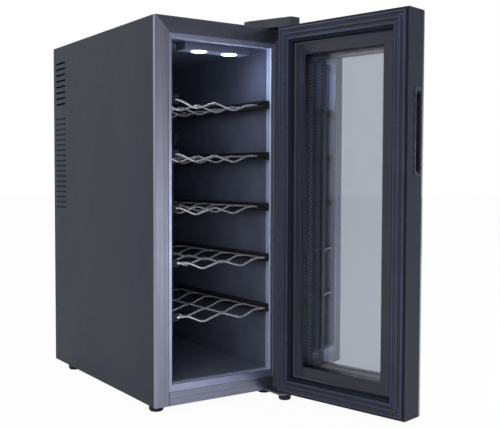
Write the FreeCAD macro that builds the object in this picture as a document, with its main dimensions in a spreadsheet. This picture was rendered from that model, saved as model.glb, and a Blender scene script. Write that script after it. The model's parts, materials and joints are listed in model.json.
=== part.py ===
import FreeCAD, Part
import Sketcher
import math
import os
import re

# Slim free-standing wine cooler: insulated cabinet, five wire shelves, glass door hinged on the right.
# Frame: origin on the floor under the middle of the cabinet, +Z up, the front faces -Y, millimetres.

os.makedirs("parts", exist_ok=True)
doc = FreeCAD.newDocument("WineCooler")
sheet = doc.addObject("Spreadsheet::Sheet", "Sizes")


class Sizes:
    """The driving dimensions as plain numbers, one attribute for each alias of the sheet."""


mm = Sizes()
aliases = set()


def size(name, value, note):
    row = len(aliases) + 1
    sheet.set(f"A{row}", name)
    sheet.set(f"B{row}", str(value))
    sheet.set(f"C{row}", note)
    sheet.setAlias(f"B{row}", name)
    aliases.add(name)
    setattr(mm, name, float(value))


# ---- cabinet
size("cabinet_width", 250, "across the side panels")
size("cabinet_depth", 430, "front face to rear panel")
size("cabinet_height", 613, "underside to top panel")
size("foot_height", 13, "floor to cabinet underside")
size("foot_radius", 12, "moulded foot")
size("foot_side_inset", 19, "foot centre to cabinet side")
size("foot_front_inset", 34, "foot centre to front face")
size("foot_back_inset", 53, "foot centre to rear panel")
size("sheet_thickness", 0.8, "painted steel panels")
size("base_thickness", 1.2, "steel base plate")
size("stile_width", 24, "front stile")
size("top_rail_height", 25, "front top rail")
size("bottom_rail_height", 22, "front bottom rail")
size("frame_depth", 7, "how far the front frame wraps onto the sides")
size("frame_wall", 1.5, "front frame wall")
size("flange_width", 5.7, "light trim beside the mouth")
size("flange_top", 8.5, "light trim above the mouth")
size("sill_height", 13, "light trim below the mouth")
size("trim_thickness", 2, "trim flange")
size("lip_depth", 16, "trim lip into the mouth")
size("liner_wall", 1.5, "liner and lip wall")
size("machine_room", 64, "back of the foam to the rear")
size("rear_foam", 24, "liner back wall to the back of the foam")
# ---- vents in the side panels
size("vent_back", 12, "vents to the rear")
size("vent_length", 48, "long slot")
size("vent_slot_height", 3.6, "slot height")
size("vent_top", 30, "cabinet top to the highest slot")
size("vent_pitch", 11.2, "long slot pitch")
size("vent_count", 8, "long slots")
size("dash_top", 137, "cabinet top to the highest row of short slots")
size("dash_pitch", 10, "row pitch")
size("dash_rows", 18, "rows of short slots")
size("dash_count", 5, "short slots in a row")
size("dash_length", 6.4, "short slot length")
# ---- shelves and their rails
size("shelf_levels", 5, "shelves")
size("first_shelf", 105, "mouth sill to the lowest rail centre")
size("top_room", 94, "highest rail centre to the top of the mouth")
size("rail_height", 13, "shelf rail")
size("rail_reach", 15, "rail out of the wall")
size("rail_start", 5, "front face to rail")
size("rail_gap", 4, "end of the rail to the cold side cover")
size("groove_play", 0.8, "groove higher than the shelf rod")
size("groove_seat", 1.2, "groove deeper than the shelf rod")
size("shelf_rod", 4, "shelf side rod diameter")
size("shelf_wire", 3.4, "shelf cross wire diameter")
size("shelf_side_clearance", 0.7, "rod to groove bottom")
size("shelf_front", 27, "front face to first cross wire, pushed in")
size("shelf_pulled", 23, "how far the two lowest shelves are drawn out at rest")
size("shelf_wires", 6, "cross wires")
size("valley_depth", 11.7, "bottle valley, before its bend is rounded")
size("valley_share", 0.57, "valley centre, as a share of the wavy half of a wire")
size("wire_end", 18, "side rod to the slope of a cross wire")
size("wire_bend", 20, "bend radius of a cross wire")
# ---- interior light
size("housing_half", 62, "light housing half width")
size("housing_start", 17, "front face to light housing")
size("housing_depth", 30, "light housing front to back")
size("housing_height", 12, "light housing")
size("lens_place", 29, "lens centre from the middle")
size("lens_radius", 11, "lens in its hole")
size("lens_rim", 13, "lens rim radius")
size("fit_gap", 0.2, "loose fit between pieces")
# ---- cooling unit
size("unit_height", 380, "cooling unit axis above the cabinet underside")
size("cover_half", 70, "cold side cover half width")
size("cover_rise", 85, "cold side cover half height")
size("cover_depth", 28, "cold side cover")
size("cover_wall", 1.5, "cold side cover wall")
size("block_half", 20, "thermal block and module half side")
size("block_gap", 2, "room round the thermal block")
size("module_thickness", 3.8, "thermoelectric module")
size("cold_fan_size", 80, "cold fan frame")
size("cold_fan_depth", 10, "cold fan frame")
size("hot_fan_size", 92, "hot fan frame")
size("hot_fan_depth", 25, "hot fan frame")
size("cold_sink_width", 90, "cold sink")
size("cold_sink_depth", 15, "cold sink")
size("hot_sink_width", 104, "hot sink")
size("hot_sink_gap", 2.4, "hot sink to the hot fan frame")
size("sink_base", 4, "heat sink base")
size("fin_thickness", 1.4, "heat sink fin")
size("sink_fins", 13, "fins on each heat sink")
size("fan_wall", 2, "least frame wall round the rotor")
size("fan_blades", 7, "blades of each rotor")
size("cold_hub", 15, "cold fan motor boss")
size("hot_hub", 17, "hot fan motor boss")
size("strut_width", 4, "fan frame strut")
size("strut_depth", 2.5, "fan frame strut")
size("tip_clearance", 1.5, "blade tip to frame")
size("shaft_radius", 1.5, "fan shaft")
size("running_gap", 0.05, "radial clearance of a running fit")
size("guard_wire", 2.4, "fan guard wire diameter")
size("inlet_place", 78, "mains inlet from the middle")
size("inlet_rise", 60, "mains inlet above the cabinet underside")
size("inlet_half_width", 14, "mains inlet cut-out")
size("inlet_half_height", 10, "mains inlet cut-out")
# ---- door
size("door_gap", 5, "front face to door inner face, closed")
size("door_thickness", 43, "door with its outer glass")
size("door_reveal", 2, "door top and bottom to cabinet top and bottom")
size("door_glass", 4, "outer and inner pane")
size("door_frame", 27, "door frame side")
size("profile_wall", 2, "door profile wall")
size("cap_height", 8, "door end cap")
size("door_angle", 103, "door opening at rest")
size("pin_side", 9, "hinge axis to door side")
size("pin_depth", 25, "hinge axis to door inner face")
size("pin_radius", 3.5, "hinge pin")
size("bush_radius", 5.5, "hinge bush")
size("bush_length", 12, "hinge bush")
size("gasket_width", 20, "gasket")
size("gasket_inset", 4, "groove between door edge and gasket")
size("gasket_base", 3.2, "gasket body")
size("gasket_rise", 4.5, "gasket with its ridges")
size("ridge_width", 2.8, "each of the three ridges")
size("magnet_width", 9, "magnet strip")
size("magnet_height", 1.8, "magnet strip")
size("retainer_drop", 8, "door inner face to glazing retainer")
size("retainer_height", 10, "glazing retainer")
size("retainer_side", 22, "glazing retainer side width")
size("retainer_bottom", 21, "glazing retainer bottom width")
size("retainer_top", 28, "glazing retainer top width")
size("spacer_width", 9, "glass spacer")
size("handle_height", 431, "handle centre above the cabinet underside")
size("handle_length", 131, "handle lip")
size("handle_slot", 12, "finger slot")
size("handle_depth", 16, "handle cup")
size("handle_place", 29, "door inner face to handle centre")
# ---- hinge brackets
size("bracket_thickness", 3, "hinge bracket plate")
size("bracket_arm_half", 6, "top hinge bracket arm, half width")
size("bracket_nose", 8.5, "bottom bracket beyond the hinge axis")
size("bracket_corner", 7.5, "bottom bracket corner radius")
size("pin_head_height", 2, "top hinge pin head")
size("hinge_cover_height", 15, "top hinge cover")
size("hinge_cover_wall", 2, "top hinge cover wall")
size("hinge_foot_radius", 10.5, "round foot under the bottom hinge")
size("screw_radius", 2.4, "screw shank")
size("screw_head", 4.5, "screw head radius")
size("screw_head_height", 2.5, "screw head")

# Planes that many pieces share, as expressions of the sheet
side = "(cabinet_width / 2)"
front = "(-cabinet_depth / 2)"
back = "(cabinet_depth / 2)"
under = "foot_height"
top = "(foot_height + cabinet_height)"
innerSide = "(cabinet_width / 2 - sheet_thickness)"
mouthHalf = "(cabinet_width / 2 - stile_width - flange_width)"
mouthLow = "(foot_height + bottom_rail_height + sill_height)"
mouthHigh = "(foot_height + cabinet_height - top_rail_height - flange_top)"
unitAxis = "(foot_height + unit_height)"
foamBack = "(cabinet_depth / 2 - machine_room)"
cabinBack = "(cabinet_depth / 2 - machine_room - rear_foam)"
coverFront = "(cabinet_depth / 2 - machine_room - rear_foam - cover_depth)"
shelfPitch = f"(({mouthHigh} - {mouthLow} - first_shelf - top_room) / (shelf_levels - 1))"
doorInner = "(-cabinet_depth / 2 - door_gap)"
doorOuter = "(-cabinet_depth / 2 - door_gap - door_thickness)"
doorBack = "(-cabinet_depth / 2 - door_gap - door_thickness + door_glass)"
doorLow = "(foot_height + door_reveal)"
doorHigh = "(foot_height + cabinet_height - door_reveal)"
pinX = "(cabinet_width / 2 - pin_side)"
pinY = "(-cabinet_depth / 2 - door_gap - pin_depth)"

pieces = {}
doorPieces = []


def linked(expression):
    text = str(expression)

    def own(found):
        word = found.group(0)
        return "Sizes." + word if word in aliases else word

    return re.sub(r"[a-z][a-z0-9_]*", own, text)


def bind(item, prop, expression):
    item.setExpression(prop, linked(expression))


def keep(item, node, onDoor=False):
    item.Label = node
    pieces[node] = item
    if onDoor:
        doorPieces.append(item)
    return item


def setPlace(item, x, y, z):
    bind(item, "Placement.Base.x", x)
    bind(item, "Placement.Base.y", y)
    bind(item, "Placement.Base.z", z)


def block(name, x, y, z):
    """A box between pairs of planes."""
    item = doc.addObject("Part::Box", name)
    bind(item, "Length", f"{x[1]} - ({x[0]})")
    bind(item, "Width", f"{y[1]} - ({y[0]})")
    bind(item, "Height", f"{z[1]} - ({z[0]})")
    setPlace(item, x[0], y[0], z[0])
    return item


def round_(name, axis, centre, span, radius):
    """A cylinder along an axis; centre is in the two other directions, span along it."""
    item = doc.addObject("Part::Cylinder", name)
    bind(item, "Radius", radius)
    bind(item, "Height", f"{span[1]} - ({span[0]})")
    if axis == "x":
        item.Placement.Rotation = FreeCAD.Rotation(FreeCAD.Vector(0, 1, 0), 90)
        setPlace(item, span[0], centre[0], centre[1])
    elif axis == "y":
        item.Placement.Rotation = FreeCAD.Rotation(FreeCAD.Vector(1, 0, 0), -90)
        setPlace(item, centre[0], span[0], centre[1])
    else:
        setPlace(item, centre[0], centre[1], span[0])
    return item


def fuse(name, items):
    item = doc.addObject("Part::MultiFuse", name)
    item.Shapes = items
    return item


def cut(name, base, tools):
    item = doc.addObject("Part::Cut", name)
    item.Base = base
    item.Tool = tools[0] if len(tools) == 1 else fuse(name + "_tools", tools)
    return item


def common(name, first, second):
    item = doc.addObject("Part::Common", name)
    item.Base = first
    item.Tool = second
    return item


def group(name, items):
    item = doc.addObject("Part::Compound", name)
    item.Links = items
    return item


def rect(u, v):
    return [(u[0], v[0]), (u[1], v[0]), (u[1], v[1]), (u[0], v[1])]


def sketchOn(body, name, plane, offset, outlines):
    """A sketch on an origin plane, moved along its normal; an outline is a point list or a circle."""
    sketch = body.newObject("Sketcher::SketchObject", name)
    base = [f for f in body.Origin.OriginFeatures if f.Role == plane][0]
    sketch.AttachmentSupport = [(base, "")]
    sketch.MapMode = "FlatFace"
    bind(sketch, "AttachmentOffset.Base.z", offset)
    count = 0
    for outline in outlines:
        if isinstance(outline, dict):
            circle = Part.Circle(FreeCAD.Vector(0, 0, 0), FreeCAD.Vector(0, 0, 1), 5)
            edge = sketch.addGeometry(circle, False)
            rows = [("DistanceX", -1, 1, edge, 3, outline["u"]),
                    ("DistanceY", -1, 1, edge, 3, outline["v"])]
            for kind, first, firstEnd, second, secondEnd, expression in rows:
                index = sketch.addConstraint(Sketcher.Constraint(kind, first, firstEnd, second, secondEnd, 1.0))
                sketch.renameConstraint(index, f"c{count}")
                bind(sketch, f"Constraints.c{count}", expression)
                count += 1
            index = sketch.addConstraint(Sketcher.Constraint("Radius", edge, 5.0))
            sketch.renameConstraint(index, f"c{count}")
            bind(sketch, f"Constraints.c{count}", outline["radius"])
            count += 1
            continue
        n = len(outline)
        turns = [2 * math.pi * i / n for i in range(n)]
        corners = [FreeCAD.Vector(math.cos(turn), math.sin(turn), 0) for turn in turns]
        first = None
        for i in range(n):
            edge = sketch.addGeometry(Part.LineSegment(corners[i], corners[(i + 1) % n]), False)
            first = edge if first is None else first
            if i:
                sketch.addConstraint(Sketcher.Constraint("Coincident", edge - 1, 2, edge, 1))
        sketch.addConstraint(Sketcher.Constraint("Coincident", first + n - 1, 2, first, 1))
        for i, point in enumerate(outline):
            for kind, expression in (("DistanceX", point[0]), ("DistanceY", point[1])):
                index = sketch.addConstraint(Sketcher.Constraint(kind, -1, 1, first + i, 1, 1.0))
                sketch.renameConstraint(index, f"c{count}")
                bind(sketch, f"Constraints.c{count}", expression)
                count += 1
    return sketch


def newBody(name):
    return doc.addObject("PartDesign::Body", name)


def pad(body, name, plane, outlines, span):
    """A pad between two planes normal to the sketch plane, in the direction of the world axis."""
    start = f"-({span[1]})" if plane == "XZ_Plane" else span[0]
    sketch = sketchOn(body, name + "Sketch", plane, start, outlines)
    item = body.newObject("PartDesign::Pad", name)
    item.Profile = sketch
    bind(item, "Length", f"{span[1]} - ({span[0]})")
    body.Tip = item
    return item


def pocket(body, name, plane, outlines, span):
    """A pocket between two planes; the sketch lies on the far plane and the cut goes against its normal."""
    start = f"-({span[0]})" if plane == "XZ_Plane" else span[1]
    sketch = sketchOn(body, name + "Sketch", plane, start, outlines)
    item = body.newObject("PartDesign::Pocket", name)
    item.Profile = sketch
    bind(item, "Length", f"{span[1]} - ({span[0]})")
    body.Tip = item
    return item


def linear(body, name, features, sketch, axis, length, count):
    item = body.newObject("PartDesign::LinearPattern", name)
    item.Originals = features
    item.Direction = (sketch, [axis])
    bind(item, "Length", length)
    bind(item, "Occurrences", count)
    body.Tip = item
    return item


def extruded(name, plane, outlines, span):
    body = newBody(name)
    pad(body, name + "Pad", plane, outlines, span)
    return body


# ---------------------------------------------------------------- side panels with their vents
def sidePanel(node, sign):
    outer = f"{sign} * {side}"
    inner = f"{sign} * {innerSide}"
    span = (inner, outer) if sign > 0 else (outer, inner)
    body = newBody(node)
    outline = rect((f"{front} + frame_depth", back), (under, top))
    pad(body, node + "Sheet", "YZ_Plane", [outline], span)
    ventY = f"({back} - vent_back - vent_length)"
    ventZ = f"({top} - vent_top)"
    slot = rect((ventY, f"{ventY} + vent_length"), (f"{ventZ} - vent_slot_height", ventZ))
    long = pocket(body, node + "Slot", "YZ_Plane", [slot], span)
    doc.recompute()
    # both patterns run down the panel
    run = "vent_pitch * (vent_count - 1)"
    rows = linear(body, node + "Slots", [long], long.Profile[0], "V_Axis", run, "vent_count")
    rows.Reversed = True
    dashPitch = "((vent_length - dash_length) / (dash_count - 1))"
    dashZ = f"({top} - dash_top)"
    dashes = []
    for i in range(int(mm.dash_count)):
        y = f"{ventY} + {i} * {dashPitch}"
        dashes.append(rect((y, f"{y} + dash_length"), (f"{dashZ} - vent_slot_height", dashZ)))
    short = pocket(body, node + "Dash", "YZ_Plane", dashes, span)
    doc.recompute()
    run = "dash_pitch * (dash_rows - 1)"
    more = linear(body, node + "Dashes", [short], short.Profile[0], "V_Axis", run, "dash_rows")
    more.Reversed = True
    return keep(body, node)


sidePanel("left_side_panel", -1)
sidePanel("right_side_panel", 1)

# ---------------------------------------------------------------- top, base and rear
frameBack = f"{front} + frame_depth"
screwTopX = ["(cabinet_width / 2 - 26)", "(cabinet_width / 2 - 12)"]
screwTopY = "(-cabinet_depth / 2 + 28)"
topHoles = [{"u": x, "v": screwTopY, "radius": "screw_radius + running_gap"} for x in screwTopX]
topOutline = rect((f"-{innerSide}", innerSide), (frameBack, back))
topSpan = (f"{top} - sheet_thickness", top)
keep(extruded("top_panel", "XY_Plane", [topOutline] + topHoles, topSpan), "top_panel")

footFront = "(-cabinet_depth / 2 + foot_front_inset)"
footBack = "(cabinet_depth / 2 - foot_back_inset)"
footX = "(cabinet_width / 2 - foot_side_inset)"
plateBack = f"({footFront} - foot_radius - 2)"
screwLowX = ["(cabinet_width / 2 - 26)", "(cabinet_width / 2 - 12)"]
screwLowY = f"({front} + frame_depth + screw_head)"
lowHoles = [{"u": x, "v": screwLowY, "radius": "screw_radius + running_gap"} for x in screwLowX]
baseSpan = (under, f"{under} + base_thickness")
keep(extruded("base_plate", "XY_Plane", [topOutline] + lowHoles, baseSpan), "base_plate")

inletZ = "(foot_height + inlet_rise)"
rearOutline = rect((f"-{innerSide}", innerSide), (f"{under} + base_thickness", f"{top} - sheet_thickness"))
fanHole = {"u": "0", "v": unitAxis, "radius": "hot_fan_size / 2 - fan_wall"}
inletHole = rect(("inlet_place - inlet_half_width", "inlet_place + inlet_half_width"),
                 (f"{inletZ} - inlet_half_height", f"{inletZ} + inlet_half_height"))
rearSpan = (f"{back} - sheet_thickness", back)
rear = extruded("rear_panel", "XZ_Plane", [rearOutline, fanHole, inletHole], rearSpan)
keep(rear, "rear_panel")


# ---------------------------------------------------------------- front frame, mitred at the top corners
def channel(u0, u1):
    """U section between two planes across the profile, open to the rear."""
    return [(u0, front), (u1, front), (u1, frameBack), (f"{u1} - frame_wall", frameBack),
            (f"{u1} - frame_wall", f"{front} + frame_wall"), (f"{u0} + frame_wall", f"{front} + frame_wall"),
            (f"{u0} + frame_wall", frameBack), (u0, frameBack)]


def stile(node, u0, u1, high):
    body = extruded(node + "Section", "XY_Plane", [channel(u0, u1)], (under, top))
    shape = [(u0, under), (u1, under), (u1, high[1]), (u0, high[0])]
    mitre = extruded(node + "Mitre", "XZ_Plane", [shape], (front, frameBack))
    return keep(common(node, body, mitre), node)


railLow = f"{top} - top_rail_height"
stile("left_stile", f"-{side}", f"-{side} + stile_width", (top, railLow))
stile("right_stile", f"{side} - stile_width", side, (railLow, top))


def railSection(v0, v1):
    """The same U section for a rail, drawn in the YZ plane."""
    web = f"{front} + frame_wall"
    return [(front, v0), (frameBack, v0), (frameBack, f"{v0} + frame_wall"), (web, f"{v0} + frame_wall"),
            (web, f"{v1} - frame_wall"), (frameBack, f"{v1} - frame_wall"), (frameBack, v1), (front, v1)]


topRail = extruded("topRailSection", "YZ_Plane", [railSection(railLow, top)], (f"-{side}", side))
topShape = [(f"-{side} + stile_width", railLow), (f"{side} - stile_width", railLow),
            (side, top), (f"-{side}", top)]
topMitre = extruded("topRailMitre", "XZ_Plane", [topShape], (front, frameBack))
keep(common("top_rail", topRail, topMitre), "top_rail")
lowSpan = (f"-{side} + stile_width", f"{side} - stile_width")
bottomSection = railSection(under, f"{under} + bottom_rail_height")
bottomRail = extruded("bottom_rail", "YZ_Plane", [bottomSection], lowSpan)
keep(bottomRail, "bottom_rail")

# ---------------------------------------------------------------- mouth trim, liner, foam, bulkhead
mouth = rect((f"-{mouthHalf}", mouthHalf), (mouthLow, mouthHigh))
flangeOutline = rect(lowSpan, (f"{under} + bottom_rail_height", railLow))
lipOutline = rect((f"-{mouthHalf} - liner_wall", f"{mouthHalf} + liner_wall"),
                  (f"{mouthLow} - liner_wall", f"{mouthHigh} + liner_wall"))
trim = newBody("mouth_trim")
pad(trim, "trimFlange", "XZ_Plane", [flangeOutline, mouth], (front, f"{front} + trim_thickness"))
pad(trim, "trimLip", "XZ_Plane", [lipOutline, mouth], (front, f"{front} + lip_depth"))
keep(trim, "mouth_trim")

holeHalf = "(block_half + block_gap)"
blockHole = rect((f"-{holeHalf}", holeHalf), (f"{unitAxis} - {holeHalf}", f"{unitAxis} + {holeHalf}"))
liner = newBody("inner_liner")
pad(liner, "linerBox", "XZ_Plane", [lipOutline], (f"{front} + lip_depth", f"{cabinBack} + liner_wall"))
pocket(liner, "linerRoom", "XZ_Plane", [mouth], (f"{front} + lip_depth", cabinBack))
pocket(liner, "linerHole", "XZ_Plane", [blockHole], (cabinBack, f"{cabinBack} + liner_wall"))
keep(liner, "inner_liner")

foamOutline = rect((f"-{innerSide}", innerSide), (f"{under} + base_thickness", f"{top} - sheet_thickness"))
foam = newBody("insulation_foam")
pad(foam, "foamBlock", "XZ_Plane", [foamOutline], (frameBack, foamBack))
pocket(foam, "foamRoom", "XZ_Plane", [lipOutline], (frameBack, f"{cabinBack} + liner_wall"))
pocket(foam, "foamHole", "XZ_Plane", [blockHole], (f"{cabinBack} + liner_wall", foamBack))
keep(foam, "insulation_foam")

bulkSpan = (foamBack, f"{foamBack} + sheet_thickness")
keep(extruded("bulkhead", "XZ_Plane", [foamOutline, blockHole], bulkSpan), "bulkhead")

# ---------------------------------------------------------------- shelf rails, one C channel per level
def shelfZ(level):
    return f"({mouthLow} + first_shelf + {level} * {shelfPitch})"


def railSet(node, sign):
    solids = []
    for level in range(int(mm.shelf_levels)):
        z = shelfZ(level)
        wall = f"{sign} * {mouthHalf}"
        tip = f"{sign} * ({mouthHalf} - rail_reach)"
        deep = f"{sign} * ({mouthHalf} - rail_reach + shelf_rod + groove_seat)"
        x = (tip, wall) if sign > 0 else (wall, tip)
        g = (f"{tip} - 1", deep) if sign > 0 else (deep, f"{tip} + 1")
        y = (f"{front} + rail_start", f"{coverFront} - rail_gap")
        half = "(shelf_rod + groove_play) / 2"
        bar = block(f"{node}Bar{level}", x, y, (f"{z} - rail_height / 2", f"{z} + rail_height / 2"))
        open_ = (f"{y[0]} - 1", f"{y[1]} + 1")
        groove = block(f"{node}Groove{level}", g, open_, (f"{z} - {half}", f"{z} + {half}"))
        solids.append(cut(f"{node}{level}", bar, [groove]))
    return keep(group(node, solids), node)


railSet("left_shelf_rails", -1)
railSet("right_shelf_rails", 1)


# ---------------------------------------------------------------- wire shelves
def roundedPath(points, radius):
    """Straight runs joined by tangent arcs."""
    edges = []
    last = points[0]
    for i in range(1, len(points) - 1):
        a = (points[i - 1] - points[i]).normalize()
        b = (points[i + 1] - points[i]).normalize()
        half = a.getAngle(b) / 2
        reach = radius / math.tan(half)
        start = points[i] + a * reach
        end = points[i] + b * reach
        middle = (a + b).normalize()
        crown = points[i] + middle * (radius / math.sin(half) - radius)
        edges.append(Part.LineSegment(last, start).toShape())
        edges.append(Part.Arc(start, crown, end).toShape())
        last = end
    edges.append(Part.LineSegment(last, points[-1]).toShape())
    return Part.Wire(edges)


railTipX = mm.cabinet_width / 2 - mm.stile_width - mm.flange_width - mm.rail_reach
grooveX = railTipX + mm.shelf_rod + mm.groove_seat
rodX = grooveX - mm.shelf_side_clearance - mm.shelf_rod / 2
coverFrontMm = mm.cabinet_depth / 2 - mm.machine_room - mm.rear_foam - mm.cover_depth
shelfStart = -mm.cabinet_depth / 2 + mm.shelf_front
shelfLength = coverFrontMm - mm.rail_gap - mm.shelf_rod / 2 - shelfStart
mouthLowMm = mm.foot_height + mm.bottom_rail_height + mm.sill_height
mouthHighMm = mm.foot_height + mm.cabinet_height - mm.top_rail_height - mm.flange_top
firstShelfMm = mouthLowMm + mm.first_shelf
pitchMm = (mouthHighMm - mm.top_room - firstShelfMm) / (mm.shelf_levels - 1)


def crossWire():
    """One cross wire in the XZ plane: flat ends and two soft bottle valleys with a low hump between them."""
    slope = rodX - mm.wire_end
    valley = mm.valley_share * slope
    half = [(-rodX, 0), (-slope, 0), (-valley, -mm.valley_depth)]
    points = half + [(0, 0)] + [(-x, z) for x, z in reversed(half)]
    path = roundedPath([FreeCAD.Vector(x, 0, z) for x, z in points], mm.wire_bend)
    ring = Part.Circle(FreeCAD.Vector(-rodX, 0, 0), FreeCAD.Vector(1, 0, 0), mm.shelf_wire / 2)
    return path.makePipeShell([Part.Wire(ring.toShape())], True, False)


def shelfShape():
    wire = crossWire()
    step = shelfLength / (mm.shelf_wires - 1)
    shapes = []
    for i in range(int(mm.shelf_wires)):
        copy = wire.copy()
        copy.translate(FreeCAD.Vector(0, i * step, 0))
        shapes.append(copy)
    over = mm.shelf_rod / 2
    rods = []
    for sign in (-1, 1):
        start = FreeCAD.Vector(sign * rodX, -over, 0)
        along = FreeCAD.Vector(0, 1, 0)
        rods.append(Part.makeCylinder(mm.shelf_rod / 2, shelfLength + 2 * over, start, along))
    return rods[0].fuse([rods[1]] + shapes)


oneShelf = shelfShape()
for number in range(1, int(mm.shelf_levels) + 1):
    # shelf_1 is the highest
    level = int(mm.shelf_levels) - number
    drawn = mm.shelf_pulled if number > int(mm.shelf_levels) - 2 else 0
    shelf = doc.addObject("Part::Feature", f"shelf_{number}")
    shelf.Shape = oneShelf
    place = FreeCAD.Vector(0, shelfStart - drawn, firstShelfMm + level * pitchMm)
    shelf.Placement = FreeCAD.Placement(place, FreeCAD.Rotation())
    keep(shelf, f"shelf_{number}")

# ---------------------------------------------------------------- feet
footParts = []
footPlaces = [(x, y) for y in (footFront, footBack) for x in (f"-{footX}", footX)]
for i, (x, y) in enumerate(footPlaces):
    lower = doc.addObject("Part::Cone", f"footLower{i}")
    bind(lower, "Radius1", "foot_radius - 2")
    bind(lower, "Radius2", "foot_radius")
    bind(lower, "Height", "3")
    setPlace(lower, x, y, "0")
    upper = round_(f"footUpper{i}", "z", (x, y), ("3", under), "foot_radius")
    footParts.append(fuse(f"foot{i}", [lower, upper]))
keep(group("feet", footParts), "feet")

# ---------------------------------------------------------------- interior light
houseY = (f"{front} + housing_start", f"{front} + housing_start + housing_depth")
houseLow = f"({mouthHigh} - housing_height)"
lensY = f"({front} + housing_start + lens_rim)"
housing = newBody("light_housing")
houseOutline = rect(("-housing_half", "housing_half"), houseY)
holes = [{"u": f"{s} * lens_place", "v": lensY, "radius": "lens_radius + fit_gap"} for s in (-1, 1)]
pad(housing, "housingFloor", "XY_Plane", [houseOutline] + holes, (houseLow, f"{houseLow} + liner_wall"))
houseRoom = rect(("-housing_half + liner_wall", "housing_half - liner_wall"),
                 (f"{houseY[0]} + liner_wall", f"{houseY[1]} - liner_wall"))
pad(housing, "housingWall", "XY_Plane", [houseOutline, houseRoom], (houseLow, mouthHigh))
keep(housing, "light_housing")

lenses = []
for i, s in enumerate((-1, 1)):
    centre = (f"{s} * lens_place", lensY)
    rim = round_(f"lensRim{i}", "z", centre, (f"{houseLow} - 1.2", houseLow), "lens_rim")
    plug = round_(f"lensPlug{i}", "z", centre, (f"{houseLow} - 1.2", f"{houseLow} + 4"), "lens_radius")
    lenses.append(fuse(f"lens{i}", [rim, plug]))
keep(group("led_lenses", lenses), "led_lenses")
boardX = ("-housing_half + liner_wall + 3", "housing_half - liner_wall - 3")
boardY = (f"{houseY[0]} + liner_wall + 2", f"{houseY[1]} - liner_wall - 2")
ledBase = block("ledBoardBase", boardX, boardY, (f"{houseLow} + 4", f"{houseLow} + 5.6"))
chips = []
for i, s in enumerate((-1, 1)):
    chipX = (f"{s} * lens_place + 12", f"{s} * lens_place + 17")
    chipZ = (f"{houseLow} + 5.6", f"{houseLow} + 7.4")
    chips.append(block(f"ledChip{i}", chipX, (f"{lensY} - 3", f"{lensY} + 3"), chipZ))
keep(fuse("led_board", [ledBase] + chips), "led_board")

# ---------------------------------------------------------------- cold side: cover, fan, sink
coverX = ("-cover_half", "cover_half")
coverZ = (f"{unitAxis} - cover_rise", f"{unitAxis} + cover_rise")
cover = newBody("cold_fan_cover")
pad(cover, "coverBox", "XZ_Plane", [rect(coverX, coverZ)], (coverFront, cabinBack))
coverRoom = rect(("-cover_half + cover_wall", "cover_half - cover_wall"),
                 (f"{coverZ[0]} + cover_wall", f"{coverZ[1]} - cover_wall"))
pocket(cover, "coverRoom", "XZ_Plane", [coverRoom], (f"{coverFront} + cover_wall", cabinBack))
grilleStart = f"{unitAxis} + cold_fan_size / 2 - 8"
grille = pocket(cover, "coverGrille", "XZ_Plane", [rect(("-30", "30"), (f"{grilleStart} - 3.5", grilleStart))],
                (coverFront, f"{coverFront} + cover_wall"))
doc.recompute()
grilleRows = linear(cover, "coverGrilleRows", [grille], grille.Profile[0], "V_Axis", "cold_fan_size - 20", "9")
grilleRows.Reversed = True
keep(cover, "cold_fan_cover")


def finSink(node, width, ySpan, finsForward):
    """Base plate with upright fins; the base is on the side of the module."""
    body = newBody(node)
    z = (f"{unitAxis} - {width} / 2", f"{unitAxis} + {width} / 2")
    base = (f"{ySpan[1]} - sink_base", ySpan[1]) if finsForward else (ySpan[0], f"{ySpan[0]} + sink_base")
    pad(body, node + "Base", "XZ_Plane", [rect((f"-{width} / 2", f"{width} / 2"), z)], base)
    finX = (f"-{width} / 2", f"-{width} / 2 + fin_thickness")
    fin = pad(body, node + "Fin", "XZ_Plane", [rect(finX, z)], ySpan)
    doc.recompute()
    linear(body, node + "Fins", [fin], fin.Profile[0], "H_Axis", f"{width} - fin_thickness", "sink_fins")
    return keep(body, node)


finSink("cold_sink", "cold_sink_width", (f"{cabinBack} - cold_sink_depth", cabinBack), True)
hotFront = f"({foamBack} + module_thickness)"
hotFanFront = f"({back} - sheet_thickness - hot_fan_depth)"
blockX = ("-block_half", "block_half")
blockZ = (f"{unitAxis} - block_half", f"{unitAxis} + block_half")
keep(block("thermal_block", blockX, (cabinBack, foamBack), blockZ), "thermal_block")
keep(block("peltier_module", blockX, (foamBack, hotFront), blockZ), "peltier_module")
finSink("hot_sink", "hot_sink_width", (hotFront, f"{hotFanFront} - hot_sink_gap"), False)


def fanFrame(node, fanSize, ySpan, hub):
    """Square frame with a motor boss on four struts at its rear."""
    bore = {"u": "0", "v": unitAxis, "radius": f"{fanSize} / 2 - fan_wall"}
    boss = {"u": "0", "v": unitAxis, "radius": hub}
    shaftHole = {"u": "0", "v": unitAxis, "radius": "shaft_radius + running_gap"}
    half = f"({fanSize} / 2)"
    square = rect((f"-{half}", half), (f"{unitAxis} - {half}", f"{unitAxis} + {half}"))
    long = f"({fanSize} / 2 - fan_wall / 2)"
    narrow = "(strut_width / 2)"
    strutSpan = (f"{ySpan[1]} - strut_depth", ySpan[1])
    body = newBody(node)
    pad(body, node + "Frame", "XZ_Plane", [square, bore], ySpan)
    across = rect((f"-{long}", long), (f"{unitAxis} - {narrow}", f"{unitAxis} + {narrow}"))
    upright = rect((f"-{narrow}", narrow), (f"{unitAxis} - {long}", f"{unitAxis} + {long}"))
    pad(body, node + "Across", "XZ_Plane", [across], strutSpan)
    pad(body, node + "Upright", "XZ_Plane", [upright], strutSpan)
    pad(body, node + "Boss", "XZ_Plane", [boss], strutSpan)
    pocket(body, node + "Bore", "XZ_Plane", [shaftHole], strutSpan)
    return keep(body, node)


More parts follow.
